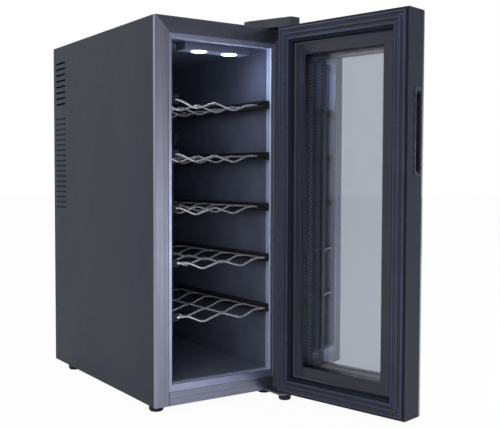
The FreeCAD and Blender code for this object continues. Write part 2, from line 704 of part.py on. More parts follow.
def fanRotor(node, fanSize, startY, depth, hub):
    """Hub with pitched blades on a shaft that runs in the frame's boss."""
    centre = FreeCAD.Vector(0, 0, 0)
    along = FreeCAD.Vector(0, 1, 0)
    frontGap, rootOverlap, bladeThickness, pitchAngle = 0.8, 3, 1.2, 38
    length = depth - mm.strut_depth - frontGap - 1
    shape = Part.makeCylinder(hub - 0.5, length, centre, along)
    tipRadius = fanSize / 2 - mm.fan_wall - mm.tip_clearance
    chord = length * 1.15
    corner = FreeCAD.Vector(-bladeThickness / 2, -chord / 2, hub - rootOverlap)
    blades = int(mm.fan_blades)
    for i in range(blades):
        blade = Part.makeBox(bladeThickness, chord, tipRadius - hub + rootOverlap, corner)
        blade.rotate(centre, FreeCAD.Vector(0, 0, 1), pitchAngle)
        blade.translate(FreeCAD.Vector(0, length / 2, 0))
        blade.rotate(centre, along, i * 360 / blades)
        shape = shape.fuse(blade)
    shape = shape.common(Part.makeCylinder(tipRadius, length, centre, along))
    shaft = Part.makeCylinder(mm.shaft_radius, length + mm.strut_depth + 0.5, centre, along)
    rotor = doc.addObject("Part::Feature", node)
    rotor.Shape = shape.fuse(shaft)
    place = FreeCAD.Vector(0, startY + frontGap, mm.foot_height + mm.unit_height)
    rotor.Placement = FreeCAD.Placement(place, FreeCAD.Rotation())
    return keep(rotor, node)


coldSpan = (f"({coverFront} + cover_wall)", f"({coverFront} + cover_wall + cold_fan_depth)")
hotSpan = (hotFanFront, f"({back} - sheet_thickness)")
hotFanFrontMm = mm.cabinet_depth / 2 - mm.sheet_thickness - mm.hot_fan_depth
fanFrame("cold_fan_frame", "cold_fan_size", coldSpan, "cold_hub")
fanRotor("cold_fan_rotor", mm.cold_fan_size, coverFrontMm + mm.cover_wall, mm.cold_fan_depth, mm.cold_hub)
fanFrame("hot_fan_frame", "hot_fan_size", hotSpan, "hot_hub")
fanRotor("hot_fan_rotor", mm.hot_fan_size, hotFanFrontMm, mm.hot_fan_depth, mm.hot_hub)


def fanGuard():
    """Wire guard over the rear fan opening: rings on the rear panel, with a cross welded behind them."""
    r = mm.guard_wire / 2
    along = FreeCAD.Vector(0, 1, 0)
    outer = mm.hot_fan_size / 2
    shape = None
    for share in (0.28, 0.52, 0.76, 1.0):
        ring_ = Part.makeTorus(outer * share, r, FreeCAD.Vector(0, 0, 0), along)
        shape = ring_ if shape is None else shape.fuse(ring_)
    weld = FreeCAD.Vector(0, 1.3 * r, 0)
    reach = outer + 1.5 * r
    for angle in (20, 110):
        direction = FreeCAD.Vector(math.cos(math.radians(angle)), 0, math.sin(math.radians(angle)))
        shape = shape.fuse(Part.makeCylinder(r, 2 * reach, weld - direction * reach, direction))
    return shape


guard = doc.addObject("Part::Feature", "fan_guard")
guard.Shape = fanGuard()
guardY = mm.cabinet_depth / 2 + mm.guard_wire / 2
guardPlace = FreeCAD.Vector(0, guardY, mm.foot_height + mm.unit_height)
guard.Placement = FreeCAD.Placement(guardPlace, FreeCAD.Rotation())
keep(guard, "fan_guard")

# ---------------------------------------------------------------- electrics in the rear room
bulkBack = f"({foamBack} + sheet_thickness)"
boardZ = (f"{under} + 30", f"{under} + 104")
boardSpan = (f"{bulkBack} + 7", f"{bulkBack} + 8.6")
board = block("powerBase", ("-55", "55"), boardSpan, boardZ)


def onBoard(height):
    """From the face of the power board out to the given height."""
    return (boardSpan[1], f"{boardSpan[1]} + {height}")


def upBoard(low, high):
    return (f"{boardZ[0]} + {low}", f"{boardZ[0]} + {high}")


parts = [board,
         block("powerTransformer", ("-45", "-8"), onBoard(27), upBoard(30, 62)),
         block("powerHeatBar", ("20", "26"), onBoard(22), upBoard(10, 60)),
         round_("powerCapacitor", "y", ("40", f"{boardZ[0]} + 48"), onBoard(24), "9"),
         round_("powerCapacitorLow", "y", ("40", f"{boardZ[0]} + 22"), onBoard(20), "7"),
         block("powerTerminal", ("-44", "-10"), onBoard(12), upBoard(5, 15))]
keep(fuse("power_board", parts), "power_board")
posts = []
for i, z in enumerate((f"{boardZ[0]} + 5", f"{boardZ[1]} - 5")):
    for j, x in enumerate(("-50", "50")):
        posts.append(round_(f"post{2 * i + j}", "y", (x, z), (bulkBack, boardSpan[0]), "3"))
keep(group("board_standoffs", posts), "board_standoffs")

inletSpan = (f"{back} - 25", f"{back} + 2.5")


def inletBlock(name, halfX, ySpan, halfZ):
    x = (f"inlet_place - {halfX}", f"inlet_place + {halfX}")
    return block(name, x, ySpan, (f"{inletZ} - {halfZ}", f"{inletZ} + {halfZ}"))


inletBody = inletBlock("inletBody", "(inlet_half_width - fit_gap)", inletSpan, "(inlet_half_height - fit_gap)")
inletFlange = inletBlock("inletFlange", 20, (back, inletSpan[1]), 14)
inletRoom = inletBlock("inletRoom", 11.5, (f"{back} - 16", f"{back} + 4"), 7.5)
bladeSpan = (f"{back} - 17", f"{back} - 5")
blades = []
for i, (x, z) in enumerate([(-6, -2), (6, -2), (0, 3)]):
    bladeX = (f"inlet_place + {x} - 1", f"inlet_place + {x} + 1")
    bladeZ = (f"{inletZ} + {z} - 2.5", f"{inletZ} + {z} + 2.5")
    blades.append(block(f"inletBlade{i}", bladeX, bladeSpan, bladeZ))
socket = cut("inletSocket", fuse("inletShell", [inletBody, inletFlange]), [inletRoom])
keep(fuse("mains_inlet", [socket] + blades), "mains_inlet")

sensorX = (f"{mouthHalf} - 4", mouthHalf)
sensorY = f"({cabinBack} - 12)"
sensorZ = f"({mouthLow} + first_shelf + 3.5 * {shelfPitch})"
clipSpan = (f"{sensorY} - 6", f"{sensorY} + 6")
bulbSpan = (f"{sensorZ} - 14", f"{sensorZ} + 10")
sensorClip = block("sensorClip", sensorX, clipSpan, (f"{sensorZ} - 7", f"{sensorZ} + 7"))
sensorBulb = round_("sensorBulb", "z", (f"{mouthHalf} - 4", sensorY), bulbSpan, "2.5")
keep(fuse("temperature_sensor", [sensorClip, sensorBulb]), "temperature_sensor")

rearScrews = []
rearLevels = (f"{under} + 20", f"{under} + cabinet_height / 2", f"{top} - 20")
rearPlaces = [(s, z) for s in (-1, 1) for z in rearLevels]
for i, (s, z) in enumerate(rearPlaces):
    rearScrews.append(round_(f"rearScrew{i}", "y", (f"{s} * ({side} - 12)", z), (back, f"{back} + 2"), "3.4"))
keep(group("rear_panel_screws", rearScrews), "rear_panel_screws")


# ---------------------------------------------------------------- hinges
def numbered(point):
    return FreeCAD.Vector(point[0], point[1], 0)


pinXmm = mm.cabinet_width / 2 - mm.pin_side
pinYmm = -mm.cabinet_depth / 2 - mm.door_gap - mm.pin_depth
frontMm = -mm.cabinet_depth / 2
topMm = mm.foot_height + mm.cabinet_height
bracketZ = (top, f"{top} + bracket_thickness")
drillZ = (f"{top} - 1", f"{top} + bracket_thickness + 1")
armX = (f"{pinX} - bracket_arm_half", f"{pinX} + bracket_arm_half")
plateX = (f"{side} - 35", f"{side} - 4")
bracketPlate = block("topBracketPlate", plateX, (f"{front} + 10", f"{front} + 42"), bracketZ)
bracketArm = block("topBracketArm", armX, (pinY, f"{front} + 12"), bracketZ)
bracketEnd = round_("topBracketEnd", "z", (pinX, pinY), bracketZ, "bracket_arm_half")
drills = [round_("topPinHole", "z", (pinX, pinY), drillZ, "pin_radius + running_gap")]
for i, x in enumerate(screwTopX):
    drills.append(round_(f"topScrewHole{i}", "z", (x, screwTopY), drillZ, "screw_radius + running_gap"))
bracketSolid = fuse("topBracketSolid", [bracketPlate, bracketArm, bracketEnd])
keep(cut("top_hinge_bracket", bracketSolid, drills), "top_hinge_bracket")

pinReach = "(door_reveal + bush_length - 1)"
shankZ = (f"{top} - {pinReach}", f"{top} + bracket_thickness")
topShank = round_("topPinShank", "z", (pinX, pinY), shankZ, "pin_radius")
headZ = (f"{top} + bracket_thickness", f"{top} + bracket_thickness + pin_head_height")
topHead = round_("topPinHead", "z", (pinX, pinY), headZ, "pin_radius + 1.5")
keep(fuse("top_hinge_pin", [topShank, topHead]), "top_hinge_pin")

lowPlate = newBody("bottom_hinge_bracket")
lowOutline = rect((f"{pinX} - 26", f"{pinX} + 8"), (f"{pinY} - bracket_nose", plateBack))
lowDrills = [{"u": pinX, "v": pinY, "radius": "pin_radius + running_gap"}] + lowHoles
lowSlab = (f"{under} - bracket_thickness", under)
lowPad = pad(lowPlate, "lowPlatePad", "XY_Plane", [lowOutline] + lowDrills, lowSlab)
doc.recompute()


def cornerEdges(shape, yLimit, reach):
    """Names of the upright edges at the front corners of a plate."""
    names = []
    for i, edge in enumerate(shape.Edges):
        ends = [v.Point for v in edge.Vertexes]
        if len(ends) == 2 and abs(ends[0].x - ends[1].x) < 1e-6 and abs(ends[0].y - ends[1].y) < 1e-6:
            if abs(ends[0].y - yLimit) < reach:
                names.append(f"Edge{i + 1}")
    return names


corner = lowPlate.newObject("PartDesign::Fillet", "lowPlateCorners")
corner.Base = (lowPad, cornerEdges(lowPad.Shape, pinYmm - mm.bracket_nose, 0.5))
corner.Radius = mm.bracket_corner
lowPlate.Tip = corner
keep(lowPlate, "bottom_hinge_bracket")

lowPinZ = (f"{under} - bracket_thickness", f"{under} + {pinReach}")
keep(round_("bottomPinShank", "z", (pinX, pinY), lowPinZ, "pin_radius"), "bottom_hinge_pin")
footCentre = (f"{pinX} - 9", f"{pinY} + 4")
lowFoot = round_("hingeFootBody", "z", footCentre, ("2", f"{under} - bracket_thickness"), "hinge_foot_radius")
lowFootRim = doc.addObject("Part::Cone", "hingeFootRim")
bind(lowFootRim, "Radius1", "hinge_foot_radius - 1.5")
bind(lowFootRim, "Radius2", "hinge_foot_radius")
bind(lowFootRim, "Height", "2")
setPlace(lowFootRim, footCentre[0], footCentre[1], "0")
keep(fuse("bottom_hinge_foot", [lowFoot, lowFootRim]), "bottom_hinge_foot")

hingeScrews = []
seatTop = f"{top} + bracket_thickness"
seatLow = f"{under} - bracket_thickness"
for i, x in enumerate(screwTopX):
    place = (x, screwTopY)
    shank = round_(f"topScrewShank{i}", "z", place, (f"{top} - sheet_thickness", seatTop), "screw_radius")
    head = round_(f"topScrewHead{i}", "z", place, (seatTop, f"{seatTop} + screw_head_height"), "screw_head")
    hingeScrews.append(fuse(f"topScrew{i}", [shank, head]))
for i, x in enumerate(screwLowX):
    place = (x, screwLowY)
    shank = round_(f"lowScrewShank{i}", "z", place, (seatLow, f"{under} + base_thickness"), "screw_radius")
    head = round_(f"lowScrewHead{i}", "z", place, (f"{seatLow} - screw_head_height", seatLow), "screw_head")
    hingeScrews.append(fuse(f"lowScrew{i}", [shank, head]))
keep(group("hinge_screws", hingeScrews), "hinge_screws")


def coverOutline(inset):
    """Plan of the top hinge cover: square at the back, slanted on the left, narrow rounded nose."""
    s = mm.cabinet_width / 2
    rear = frontMm + 46
    nose = pinYmm - 12
    points = [(s - 55, rear), (s, rear), (s, nose), (s - 21, nose), (s - 53, frontMm + 34)]
    wire = Part.makePolygon([numbered(p) for p in points] + [numbered(points[0])])
    face = Part.Face(wire)
    return face if inset == 0 else face.makeOffset2D(-inset)


def uprightEdges(shape):
    """The upright edges in front of the cabinet."""
    found = []
    for edge in shape.Edges:
        ends = edge.Vertexes
        if len(ends) != 2 or ends[0].Y >= frontMm:
            continue
        if math.hypot(ends[0].X - ends[1].X, ends[0].Y - ends[1].Y) < 1e-6:
            found.append(edge)
    return found


def coverShape():
    height = mm.hinge_cover_height
    shell = coverOutline(0).extrude(FreeCAD.Vector(0, 0, height))
    shell.translate(FreeCAD.Vector(0, 0, topMm))
    shell = shell.makeFillet(6, uprightEdges(shell))
    crown = [e for e in shell.Edges if min(v.Z for v in e.Vertexes) > topMm + height - 1e-6]
    shell = shell.makeFillet(1.2, crown)
    room = coverOutline(mm.hinge_cover_wall).extrude(FreeCAD.Vector(0, 0, height - mm.hinge_cover_wall))
    room.translate(FreeCAD.Vector(0, 0, topMm))
    room = room.makeFillet(4, uprightEdges(room))
    return shell.cut(room)


hingeCover = doc.addObject("Part::Feature", "top_hinge_cover")
hingeCover.Shape = coverShape()
hingeCover.Placement = FreeCAD.Placement()
keep(hingeCover, "top_hinge_cover")

# ---------------------------------------------------------------- door, drawn closed and swung about the pin
doorSpan = (f"-{side}", side)
doorZ = (doorLow, doorHigh)
outerGlass = extruded("outer_glass", "XZ_Plane", [rect(doorSpan, doorZ)], (doorOuter, doorBack))
keep(outerGlass, "outer_glass", True)


def doorProfile(node, u0, u1):
    hollow = rect((f"{u0} + profile_wall", f"{u1} - profile_wall"),
                  (f"{doorBack} + profile_wall", f"{doorInner} - profile_wall"))
    body = newBody(node)
    pad(body, node + "Pad", "XY_Plane", [rect((u0, u1), (doorBack, doorInner)), hollow],
        (f"{doorLow} + cap_height", f"{doorHigh} - cap_height"))
    return body


keep(doorProfile("door_hinge_profile", f"{side} - door_frame", side), "door_hinge_profile", True)
handleProfile = doorProfile("door_handle_profile", f"-{side}", f"-{side} + door_frame")
handleY = f"({doorInner} - handle_place)"
handleZ = "(foot_height + handle_height)"
cupY = (f"{handleY} - handle_slot / 2 - liner_wall", f"{handleY} + handle_slot / 2 + liner_wall")
cupZ = (f"{handleZ} - handle_length / 2 + 3.5", f"{handleZ} + handle_length / 2 - 3.5")
window = rect((f"{cupY[0]} - fit_gap", f"{cupY[1]} + fit_gap"),
              (f"{cupZ[0]} - fit_gap", f"{cupZ[1]} + fit_gap"))
pocket(handleProfile, "handleWindow", "YZ_Plane", [window], (f"-{side}", f"-{side} + profile_wall"))
keep(handleProfile, "door_handle_profile", True)

cup = newBody("handle_cup")
lipY = (f"{handleY} - handle_slot / 2 - 2", f"{handleY} + handle_slot / 2 + 4.5")
lipZ = (f"{handleZ} - handle_length / 2", f"{handleZ} + handle_length / 2")
slotY = (f"{handleY} - handle_slot / 2", f"{handleY} + handle_slot / 2")
slotZ = (f"{cupZ[0]} + liner_wall", f"{cupZ[1]} - liner_wall")
pad(cup, "cupLip", "YZ_Plane", [rect(lipY, lipZ)], (f"-{side} - 0.8", f"-{side}"))
pad(cup, "cupTrough", "YZ_Plane", [rect(cupY, cupZ)], (f"-{side} - 0.8", f"-{side} + handle_depth"))
roomSpan = (f"-{side} - 0.8", f"-{side} + handle_depth - liner_wall")
pocket(cup, "cupRoom", "YZ_Plane", [rect(slotY, slotZ)], roomSpan)
keep(cup, "handle_cup", True)


def doorCap(node, outer, inner, rail, boardPocket):
    """End cap over both profiles with the cross rail of the frame; a bore holds the hinge bush."""
    z = (outer, inner) if outer == doorLow else (inner, outer)
    railZ = (inner, rail) if outer == doorLow else (rail, inner)
    plate = block(node + "Plate", doorSpan, (doorBack, doorInner), z)
    middleX = (f"-{side} + door_frame", f"{side} - door_frame")
    middle = block(node + "Rail", middleX, (doorBack, doorInner), railZ)
    tools = [round_(node + "Bore", "z", (pinX, pinY), (f"{z[0]} - 1", f"{z[1]} + 1"), "bush_radius + running_gap")]
    if boardPocket:
        pocketZ = (f"{railZ[0]} + 3", f"{railZ[0]} + 19")
        tools.append(block(node + "Pocket", ("-31", "31"), (f"{doorBack} - 1", f"{doorBack} + 4"), pocketZ))
    return keep(cut(node, fuse(node + "Solid", [plate, middle]), tools), node, True)


doorCap("door_bottom_cap", doorLow, f"{doorLow} + cap_height", f"{doorLow} + door_frame", False)
doorCap("door_top_cap", doorHigh, f"{doorHigh} - cap_height", f"{doorHigh} - door_frame", True)
boardLow = f"{doorHigh} - door_frame"
touchFace = f"({doorBack} + 1.6)"
touchBase = block("touchBase", ("-30", "30"), (doorBack, touchFace), (f"{boardLow} + 4", f"{boardLow} + 18"))
chipZ = (f"{boardLow} + 6", f"{boardLow} + 14")
touchChip = block("touchChip", ("-6", "6"), (touchFace, f"{touchFace} + 1.4"), chipZ)
keep(fuse("touch_board", [touchBase, touchChip]), "touch_board", True)

bushes = []
lowBush = ((doorLow, f"{doorLow} + bush_length"), (f"{under} + fit_gap", doorLow))
highBush = ((f"{doorHigh} - bush_length", doorHigh), (doorHigh, f"{top} - fit_gap"))
for i, (sleeveZ, collarZ) in enumerate((lowBush, highBush)):
    sleeve = round_(f"bushSleeve{i}", "z", (pinX, pinY), sleeveZ, "bush_radius")
    collar = round_(f"bushCollar{i}", "z", (pinX, pinY), collarZ, "bush_radius + 2")
    low = collarZ[0] if i == 0 else sleeveZ[0]
    high = sleeveZ[1] if i == 0 else collarZ[1]
    bore = round_(f"bushBore{i}", "z", (pinX, pinY), (f"{low} - 1", f"{high} + 1"), "pin_radius + running_gap")
    bushes.append(cut(f"bush{i}", fuse(f"bushSolid{i}", [sleeve, collar]), [bore]))
keep(group("hinge_bushes", bushes), "hinge_bushes", True)

# Gasket: one moulded ring with three ridges and a channel for the magnets
def ring(outX, outZ, width):
    """Two rectangles of a ring; outX and outZ are how far its outside lies in from the door edge."""
    outer = rect((f"-{side} + {outX}", f"{side} - ({outX})"), (f"{doorLow} + {outZ}", f"{doorHigh} - ({outZ})"))
    inner = rect((f"-{side} + {outX} + {width}", f"{side} - ({outX}) - ({width})"),
                 (f"{doorLow} + {outZ} + {width}", f"{doorHigh} - ({outZ}) - ({width})"))
    return [outer, inner]


gasket = newBody("door_gasket")
gasketRing = ring("gasket_inset", "gasket_inset", "gasket_width")
pad(gasket, "gasketBody", "XZ_Plane", gasketRing, (doorInner, f"{doorInner} + gasket_base"))
ridgeSpan = (doorInner, f"{doorInner} + gasket_rise")
ridges = ["gasket_inset", "(gasket_inset + gasket_width / 2 - ridge_width / 2)",
          "(gasket_inset + gasket_width - ridge_width)"]
for i, start in enumerate(ridges):
    pad(gasket, f"gasketRidge{i}", "XZ_Plane", ring(start, start, "ridge_width"), ridgeSpan)
magnetIn = "(gasket_inset + gasket_width / 2 - magnet_width / 2)"
channelIn = f"({magnetIn} - fit_gap)"
channelRing = ring(channelIn, channelIn, "magnet_width + 2 * fit_gap")
pocket(gasket, "gasketChannel", "XZ_Plane", channelRing, (doorInner, f"{doorInner} + magnet_height + fit_gap"))
keep(gasket, "door_gasket", True)

magnetEnd = f"({magnetIn} + magnet_width + 1)"
magnetY = (doorInner, f"{doorInner} + magnet_height")
strips = []
for i, s in enumerate((-1, 1)):
    if s < 0:
        x = (f"-{side} + {magnetIn}", f"-{side} + {magnetIn} + magnet_width")
        z = (f"{doorLow} + {magnetIn}", f"{doorLow} + {magnetIn} + magnet_width")
    else:
        x = (f"{side} - {magnetIn} - magnet_width", f"{side} - {magnetIn}")
        z = (f"{doorHigh} - {magnetIn} - magnet_width", f"{doorHigh} - {magnetIn}")
    magnetZ = (f"{doorLow} + {magnetEnd}", f"{doorHigh} - {magnetEnd}")
    strips.append(block(f"magnetUpright{i}", x, magnetY, magnetZ))
    strips.append(block(f"magnetAcross{i}", (f"-{side} + {magnetEnd}", f"{side} - {magnetEnd}"), magnetY, z))
keep(group("gasket_magnets", strips), "gasket_magnets", True)

# Glazing: retainer ring, inner pane, perforated spacer, outer pane
glassX = (f"-{side} + door_frame + fit_gap", f"{side} - door_frame - fit_gap")
glassZ = (f"{doorLow} + door_frame + fit_gap", f"{doorHigh} - door_frame - fit_gap")
viewX = (f"-{side} + door_frame + retainer_side", f"{side} - door_frame - retainer_side")
viewZ = (f"{doorLow} + door_frame + retainer_bottom", f"{doorHigh} - door_frame - retainer_top")
retainerY = (f"{doorInner} - retainer_drop - retainer_height", f"{doorInner} - retainer_drop")
retainer = newBody("glazing_retainer")
pad(retainer, "retainerRing", "XZ_Plane", [rect(glassX, glassZ), rect(viewX, viewZ)], retainerY)
beadOut = (rect((f"{viewX[0]} - 12", f"{viewX[1]} + 12"), (f"{viewZ[0]} - 12", f"{viewZ[1]} + 12")))
beadIn = (rect((f"{viewX[0]} - 6", f"{viewX[1]} + 6"), (f"{viewZ[0]} - 6", f"{viewZ[1]} + 6")))
pad(retainer, "retainerBead", "XZ_Plane", [beadOut, beadIn], (retainerY[0], f"{retainerY[1]} + 1"))
keep(retainer, "glazing_retainer", True)
innerY = (f"{retainerY[0]} - door_glass", retainerY[0])
keep(extruded("inner_glass", "XZ_Plane", [rect(glassX, glassZ)], innerY), "inner_glass", True)
spacerOut = rect((f"{viewX[0]} - spacer_width - 1", f"{viewX[1]} + spacer_width + 1"),
                 (f"{viewZ[0]} - spacer_width - 1", f"{viewZ[1]} + spacer_width + 1"))
spacerIn = rect((f"{viewX[0]} - 1", f"{viewX[1]} + 1"), (f"{viewZ[0]} - 1", f"{viewZ[1]} + 1"))
keep(extruded("glass_spacer", "XZ_Plane", [spacerOut, spacerIn], (doorBack, innerY[0])), "glass_spacer", True)

doc.recompute()
swing = FreeCAD.Placement(FreeCAD.Vector(0, 0, 0), FreeCAD.Rotation(FreeCAD.Vector(0, 0, 1), mm.door_angle),
                          FreeCAD.Vector(pinXmm, pinYmm, 0))
for item in doorPieces:
    item.Placement = swing
doc.recompute()

# ---------------------------------------------------------------- checks and export
faults = [o.Label for o in doc.Objects if "Invalid" in o.State or "Error" in o.State]
for node, item in pieces.items():
    if item.Shape.isNull() or not item.Shape.isValid() or not item.Shape.Solids:
        faults.append(node)
if faults:
    raise SystemExit("faulty objects: " + ", ".join(faults))
for node, item in pieces.items():
    item.Shape.exportStep(os.path.join("parts", node + ".step"))
    box = item.Shape.BoundBox
    print(f"{node}: {len(item.Shape.Solids)} solids, {item.Shape.Volume / 1000:.1f} cm3, "
          f"x {box.XMin:.1f} {box.XMax:.1f} y {box.YMin:.1f} {box.YMax:.1f} z {box.ZMin:.1f} {box.ZMax:.1f}")
print(len(pieces), "nodes")
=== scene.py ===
import json
import math
import bpy
import bmesh
from mathutils import Matrix, Vector


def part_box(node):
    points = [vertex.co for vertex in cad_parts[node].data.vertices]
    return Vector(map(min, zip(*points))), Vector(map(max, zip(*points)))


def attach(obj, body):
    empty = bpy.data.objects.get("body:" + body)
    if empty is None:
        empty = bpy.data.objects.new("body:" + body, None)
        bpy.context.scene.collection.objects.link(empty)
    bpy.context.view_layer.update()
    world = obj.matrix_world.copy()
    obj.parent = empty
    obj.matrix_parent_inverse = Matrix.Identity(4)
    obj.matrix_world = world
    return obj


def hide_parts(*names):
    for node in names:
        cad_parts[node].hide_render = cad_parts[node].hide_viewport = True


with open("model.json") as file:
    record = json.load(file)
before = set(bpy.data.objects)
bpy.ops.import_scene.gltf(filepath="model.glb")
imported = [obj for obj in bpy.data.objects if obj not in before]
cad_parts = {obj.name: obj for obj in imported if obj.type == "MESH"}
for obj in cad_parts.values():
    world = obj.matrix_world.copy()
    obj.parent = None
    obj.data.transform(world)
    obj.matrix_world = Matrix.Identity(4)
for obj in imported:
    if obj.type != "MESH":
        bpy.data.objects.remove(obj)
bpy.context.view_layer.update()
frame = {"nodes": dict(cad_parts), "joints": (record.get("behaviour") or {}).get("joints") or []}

nodes = frame["nodes"]
print("cabinet, door and shelves loaded:", len(nodes), "nodes")


def mm(value):
    return value * 0.001


hinge = next(joint for joint in frame["joints"] if joint["name"] == "door_hinge")
doorTurn = hinge["range_deg"][0]  # turns the open door back to where it shuts
pinLine = Vector((hinge["pos_m"][0], hinge["pos_m"][1], 0))
opening = Matrix.Rotation(math.radians(-doorTurn), 4, "Z")
swing = Matrix.Translation(pinLine) @ opening @ Matrix.Translation(-pinLine)  # from shut to open


def shutBox(*parts):
    # lowest and highest corner of door parts in mm, as they lie with the door shut
    back = swing.inverted()
    points = [back @ vertex.co for part in parts for vertex in nodes[part].data.vertices]
    return [[round(1000 * pick(point[axis] for point in points), 3) for axis in range(3)]
            for pick in (min, max)]


def newEffect(name, inputs, outputs):
    effect = bpy.data.node_groups.new(name, "ShaderNodeTree")
    for label, kind, *value in inputs:
        socket = effect.interface.new_socket(name=label, in_out="INPUT", socket_type=kind)
        if value:
            socket.default_value = value[0]
    for label, kind in outputs:
        effect.interface.new_socket(name=label, in_out="OUTPUT", socket_type=kind)
    return effect, effect.nodes.new("NodeGroupInput"), effect.nodes.new("NodeGroupOutput")


def addNode(tree, kind, **settings):
    node = tree.nodes.new(kind)
    for key, value in settings.items():
        setattr(node, key, value)
    return node


def fill(node, values):
    for label, value in values.items():
        node.inputs[label].default_value = value


def addMath(tree, operation, first, second=None, clamp=False):
    node = addNode(tree, "ShaderNodeMath", operation=operation, use_clamp=clamp)
    for socket, value in zip(node.inputs, (first, second)):
        if isinstance(value, (int, float)):
            socket.default_value = value
        elif value is not None:
            tree.links.new(value, socket)
    return node.outputs[0]


def weighted(tree, first, firstShare, second, secondShare):
    return addMath(tree, "ADD", addMath(tree, "MULTIPLY", first, firstShare),
                   addMath(tree, "MULTIPLY", second, secondShare))


def spread(tree, value, low, high, newLow=0.0, newHigh=1.0):
    node = addNode(tree, "ShaderNodeMapRange")
    fill(node, {"From Min": low, "From Max": high, "To Min": newLow, "To Max": newHigh})
    tree.links.new(value, node.inputs["Value"])
    return node.outputs[0]


def stretched(tree, vector, scale):
    node = addNode(tree, "ShaderNodeVectorMath", operation="MULTIPLY")
    tree.links.new(vector, node.inputs[0])
    if isinstance(scale, tuple):
        node.inputs[1].default_value = scale
    else:
        tree.links.new(scale, node.inputs[1])
    return node.outputs[0]


def noise(tree, vector, scale, detail, roughness):
    node = addNode(tree, "ShaderNodeTexNoise")
    fill(node, {"Scale": scale, "Detail": detail, "Roughness": roughness})
    tree.links.new(vector, node.inputs["Vector"])
    return node.outputs["Fac"]


def splitAxes(tree, vector):
    split = addNode(tree, "ShaderNodeSeparateXYZ")
    tree.links.new(vector, split.inputs[0])
    return split.outputs


# each noise is its scale, detail and roughness, and each pair is the range that becomes 0 to 1
brushing = {"fine": (1.0, 4.0, 0.65), "wide": (0.23, 2.0, 0.5), "fineShare": 0.6, "wideShare": 0.4,
            "tone": (0.32, 0.68), "relief": (0.3, 0.7)}


def makeBrushing():
    # long fine scratches laid along one direction, with a few deeper ones
    tree, source, sink = newEffect(
        "brushed strokes",
        [("Vector", "NodeSocketVector"), ("Stretch", "NodeSocketVector", (900, 900, 5))],
        [("Tone", "NodeSocketFloat"), ("Height", "NodeSocketFloat")],
    )
    lines = stretched(tree, source.outputs["Vector"], source.outputs["Stretch"])
    fine = noise(tree, lines, *brushing["fine"])
    wide = noise(tree, lines, *brushing["wide"])
    tone = weighted(tree, fine, brushing["fineShare"], wide, brushing["wideShare"])
    tree.links.new(spread(tree, tone, *brushing["tone"]), sink.inputs["Tone"])
    tree.links.new(spread(tree, fine, *brushing["relief"]), sink.inputs["Height"])
    return tree


powder = {"detail": 3.0, "roughness": 0.6, "speckPitch": 2.2, "peelShare": 0.7, "speckShare": 0.45,
          "tone": (0.35, 0.85), "relief": (0.3, 0.7)}


def makePowder():
    # orange peel of a powder coat with a faint speckle
    tree, source, sink = newEffect(
        "powder coat",
        [("Vector", "NodeSocketVector"), ("Size", "NodeSocketFloat", 700.0)],
        [("Tone", "NodeSocketFloat"), ("Height", "NodeSocketFloat")],
    )
    peel = addNode(tree, "ShaderNodeTexNoise")
    fill(peel, {"Detail": powder["detail"], "Roughness": powder["roughness"]})
    tree.links.new(source.outputs["Vector"], peel.inputs["Vector"])
    tree.links.new(source.outputs["Size"], peel.inputs["Scale"])
    speck = addNode(tree, "ShaderNodeTexVoronoi")
    tree.links.new(source.outputs["Vector"], speck.inputs["Vector"])
    finer = addMath(tree, "MULTIPLY", source.outputs["Size"], powder["speckPitch"])
    tree.links.new(finer, speck.inputs["Scale"])
    tone = weighted(tree, peel.outputs["Fac"], powder["peelShare"],
                    speck.outputs["Distance"], powder["speckShare"])
    tree.links.new(spread(tree, tone, *powder["tone"]), sink.inputs["Tone"])
    tree.links.new(spread(tree, peel.outputs["Fac"], *powder["relief"]), sink.inputs["Height"])
    return tree


moulding = {"flow": (14.0, 4.0, 0.6), "tone": (0.35, 0.65), "relief": (0.1, 0.7)}


def makeMoulding():
    # spark-eroded grain of moulded plastic
    tree, source, sink = newEffect(
        "moulded grain",
        [("Vector", "NodeSocketVector"), ("Size", "NodeSocketFloat", 900.0)],
        [("Tone", "NodeSocketFloat"), ("Height", "NodeSocketFloat")],
    )
    pits = addNode(tree, "ShaderNodeTexVoronoi", feature="SMOOTH_F1")
    tree.links.new(source.outputs["Vector"], pits.inputs["Vector"])
    tree.links.new(source.outputs["Size"], pits.inputs["Scale"])
    flow = noise(tree, source.outputs["Vector"], *moulding["flow"])
    tree.links.new(spread(tree, flow, *moulding["tone"]), sink.inputs["Tone"])
    tree.links.new(spread(tree, pits.outputs["Distance"], *moulding["relief"]), sink.inputs["Height"])
    return tree


edgeWear = {"radius": 0.9, "samples": 4, "turned": (0.995, 0.85), "rubbing": (160.0, 5.0, 0.7),
            "patches": (0.42, 0.62)}


def makeEdgeWear():
    # worn mask along outer edges: the rounded normal against the true one, broken up by noise
    tree, source, sink = newEffect(
        "edge wear",
        [("Vector", "NodeSocketVector"), ("Amount", "NodeSocketFloat", 1.0)],
        [("Mask", "NodeSocketFloat")],
    )
    rounded = addNode(tree, "ShaderNodeBevel", samples=edgeWear["samples"])
    fill(rounded, {"Radius": mm(edgeWear["radius"])})
    geometry = addNode(tree, "ShaderNodeNewGeometry")
    facing = addNode(tree, "ShaderNodeVectorMath", operation="DOT_PRODUCT")
    tree.links.new(rounded.outputs["Normal"], facing.inputs[0])
    tree.links.new(geometry.outputs["Normal"], facing.inputs[1])
    edge = spread(tree, facing.outputs["Value"], *edgeWear["turned"])
    rubbed = spread(tree, noise(tree, source.outputs["Vector"], *edgeWear["rubbing"]), *edgeWear["patches"])
    mask = addMath(tree, "MULTIPLY", addMath(tree, "MULTIPLY", edge, rubbed), source.outputs["Amount"], True)
    tree.links.new(mask, sink.inputs["Mask"])
    return tree


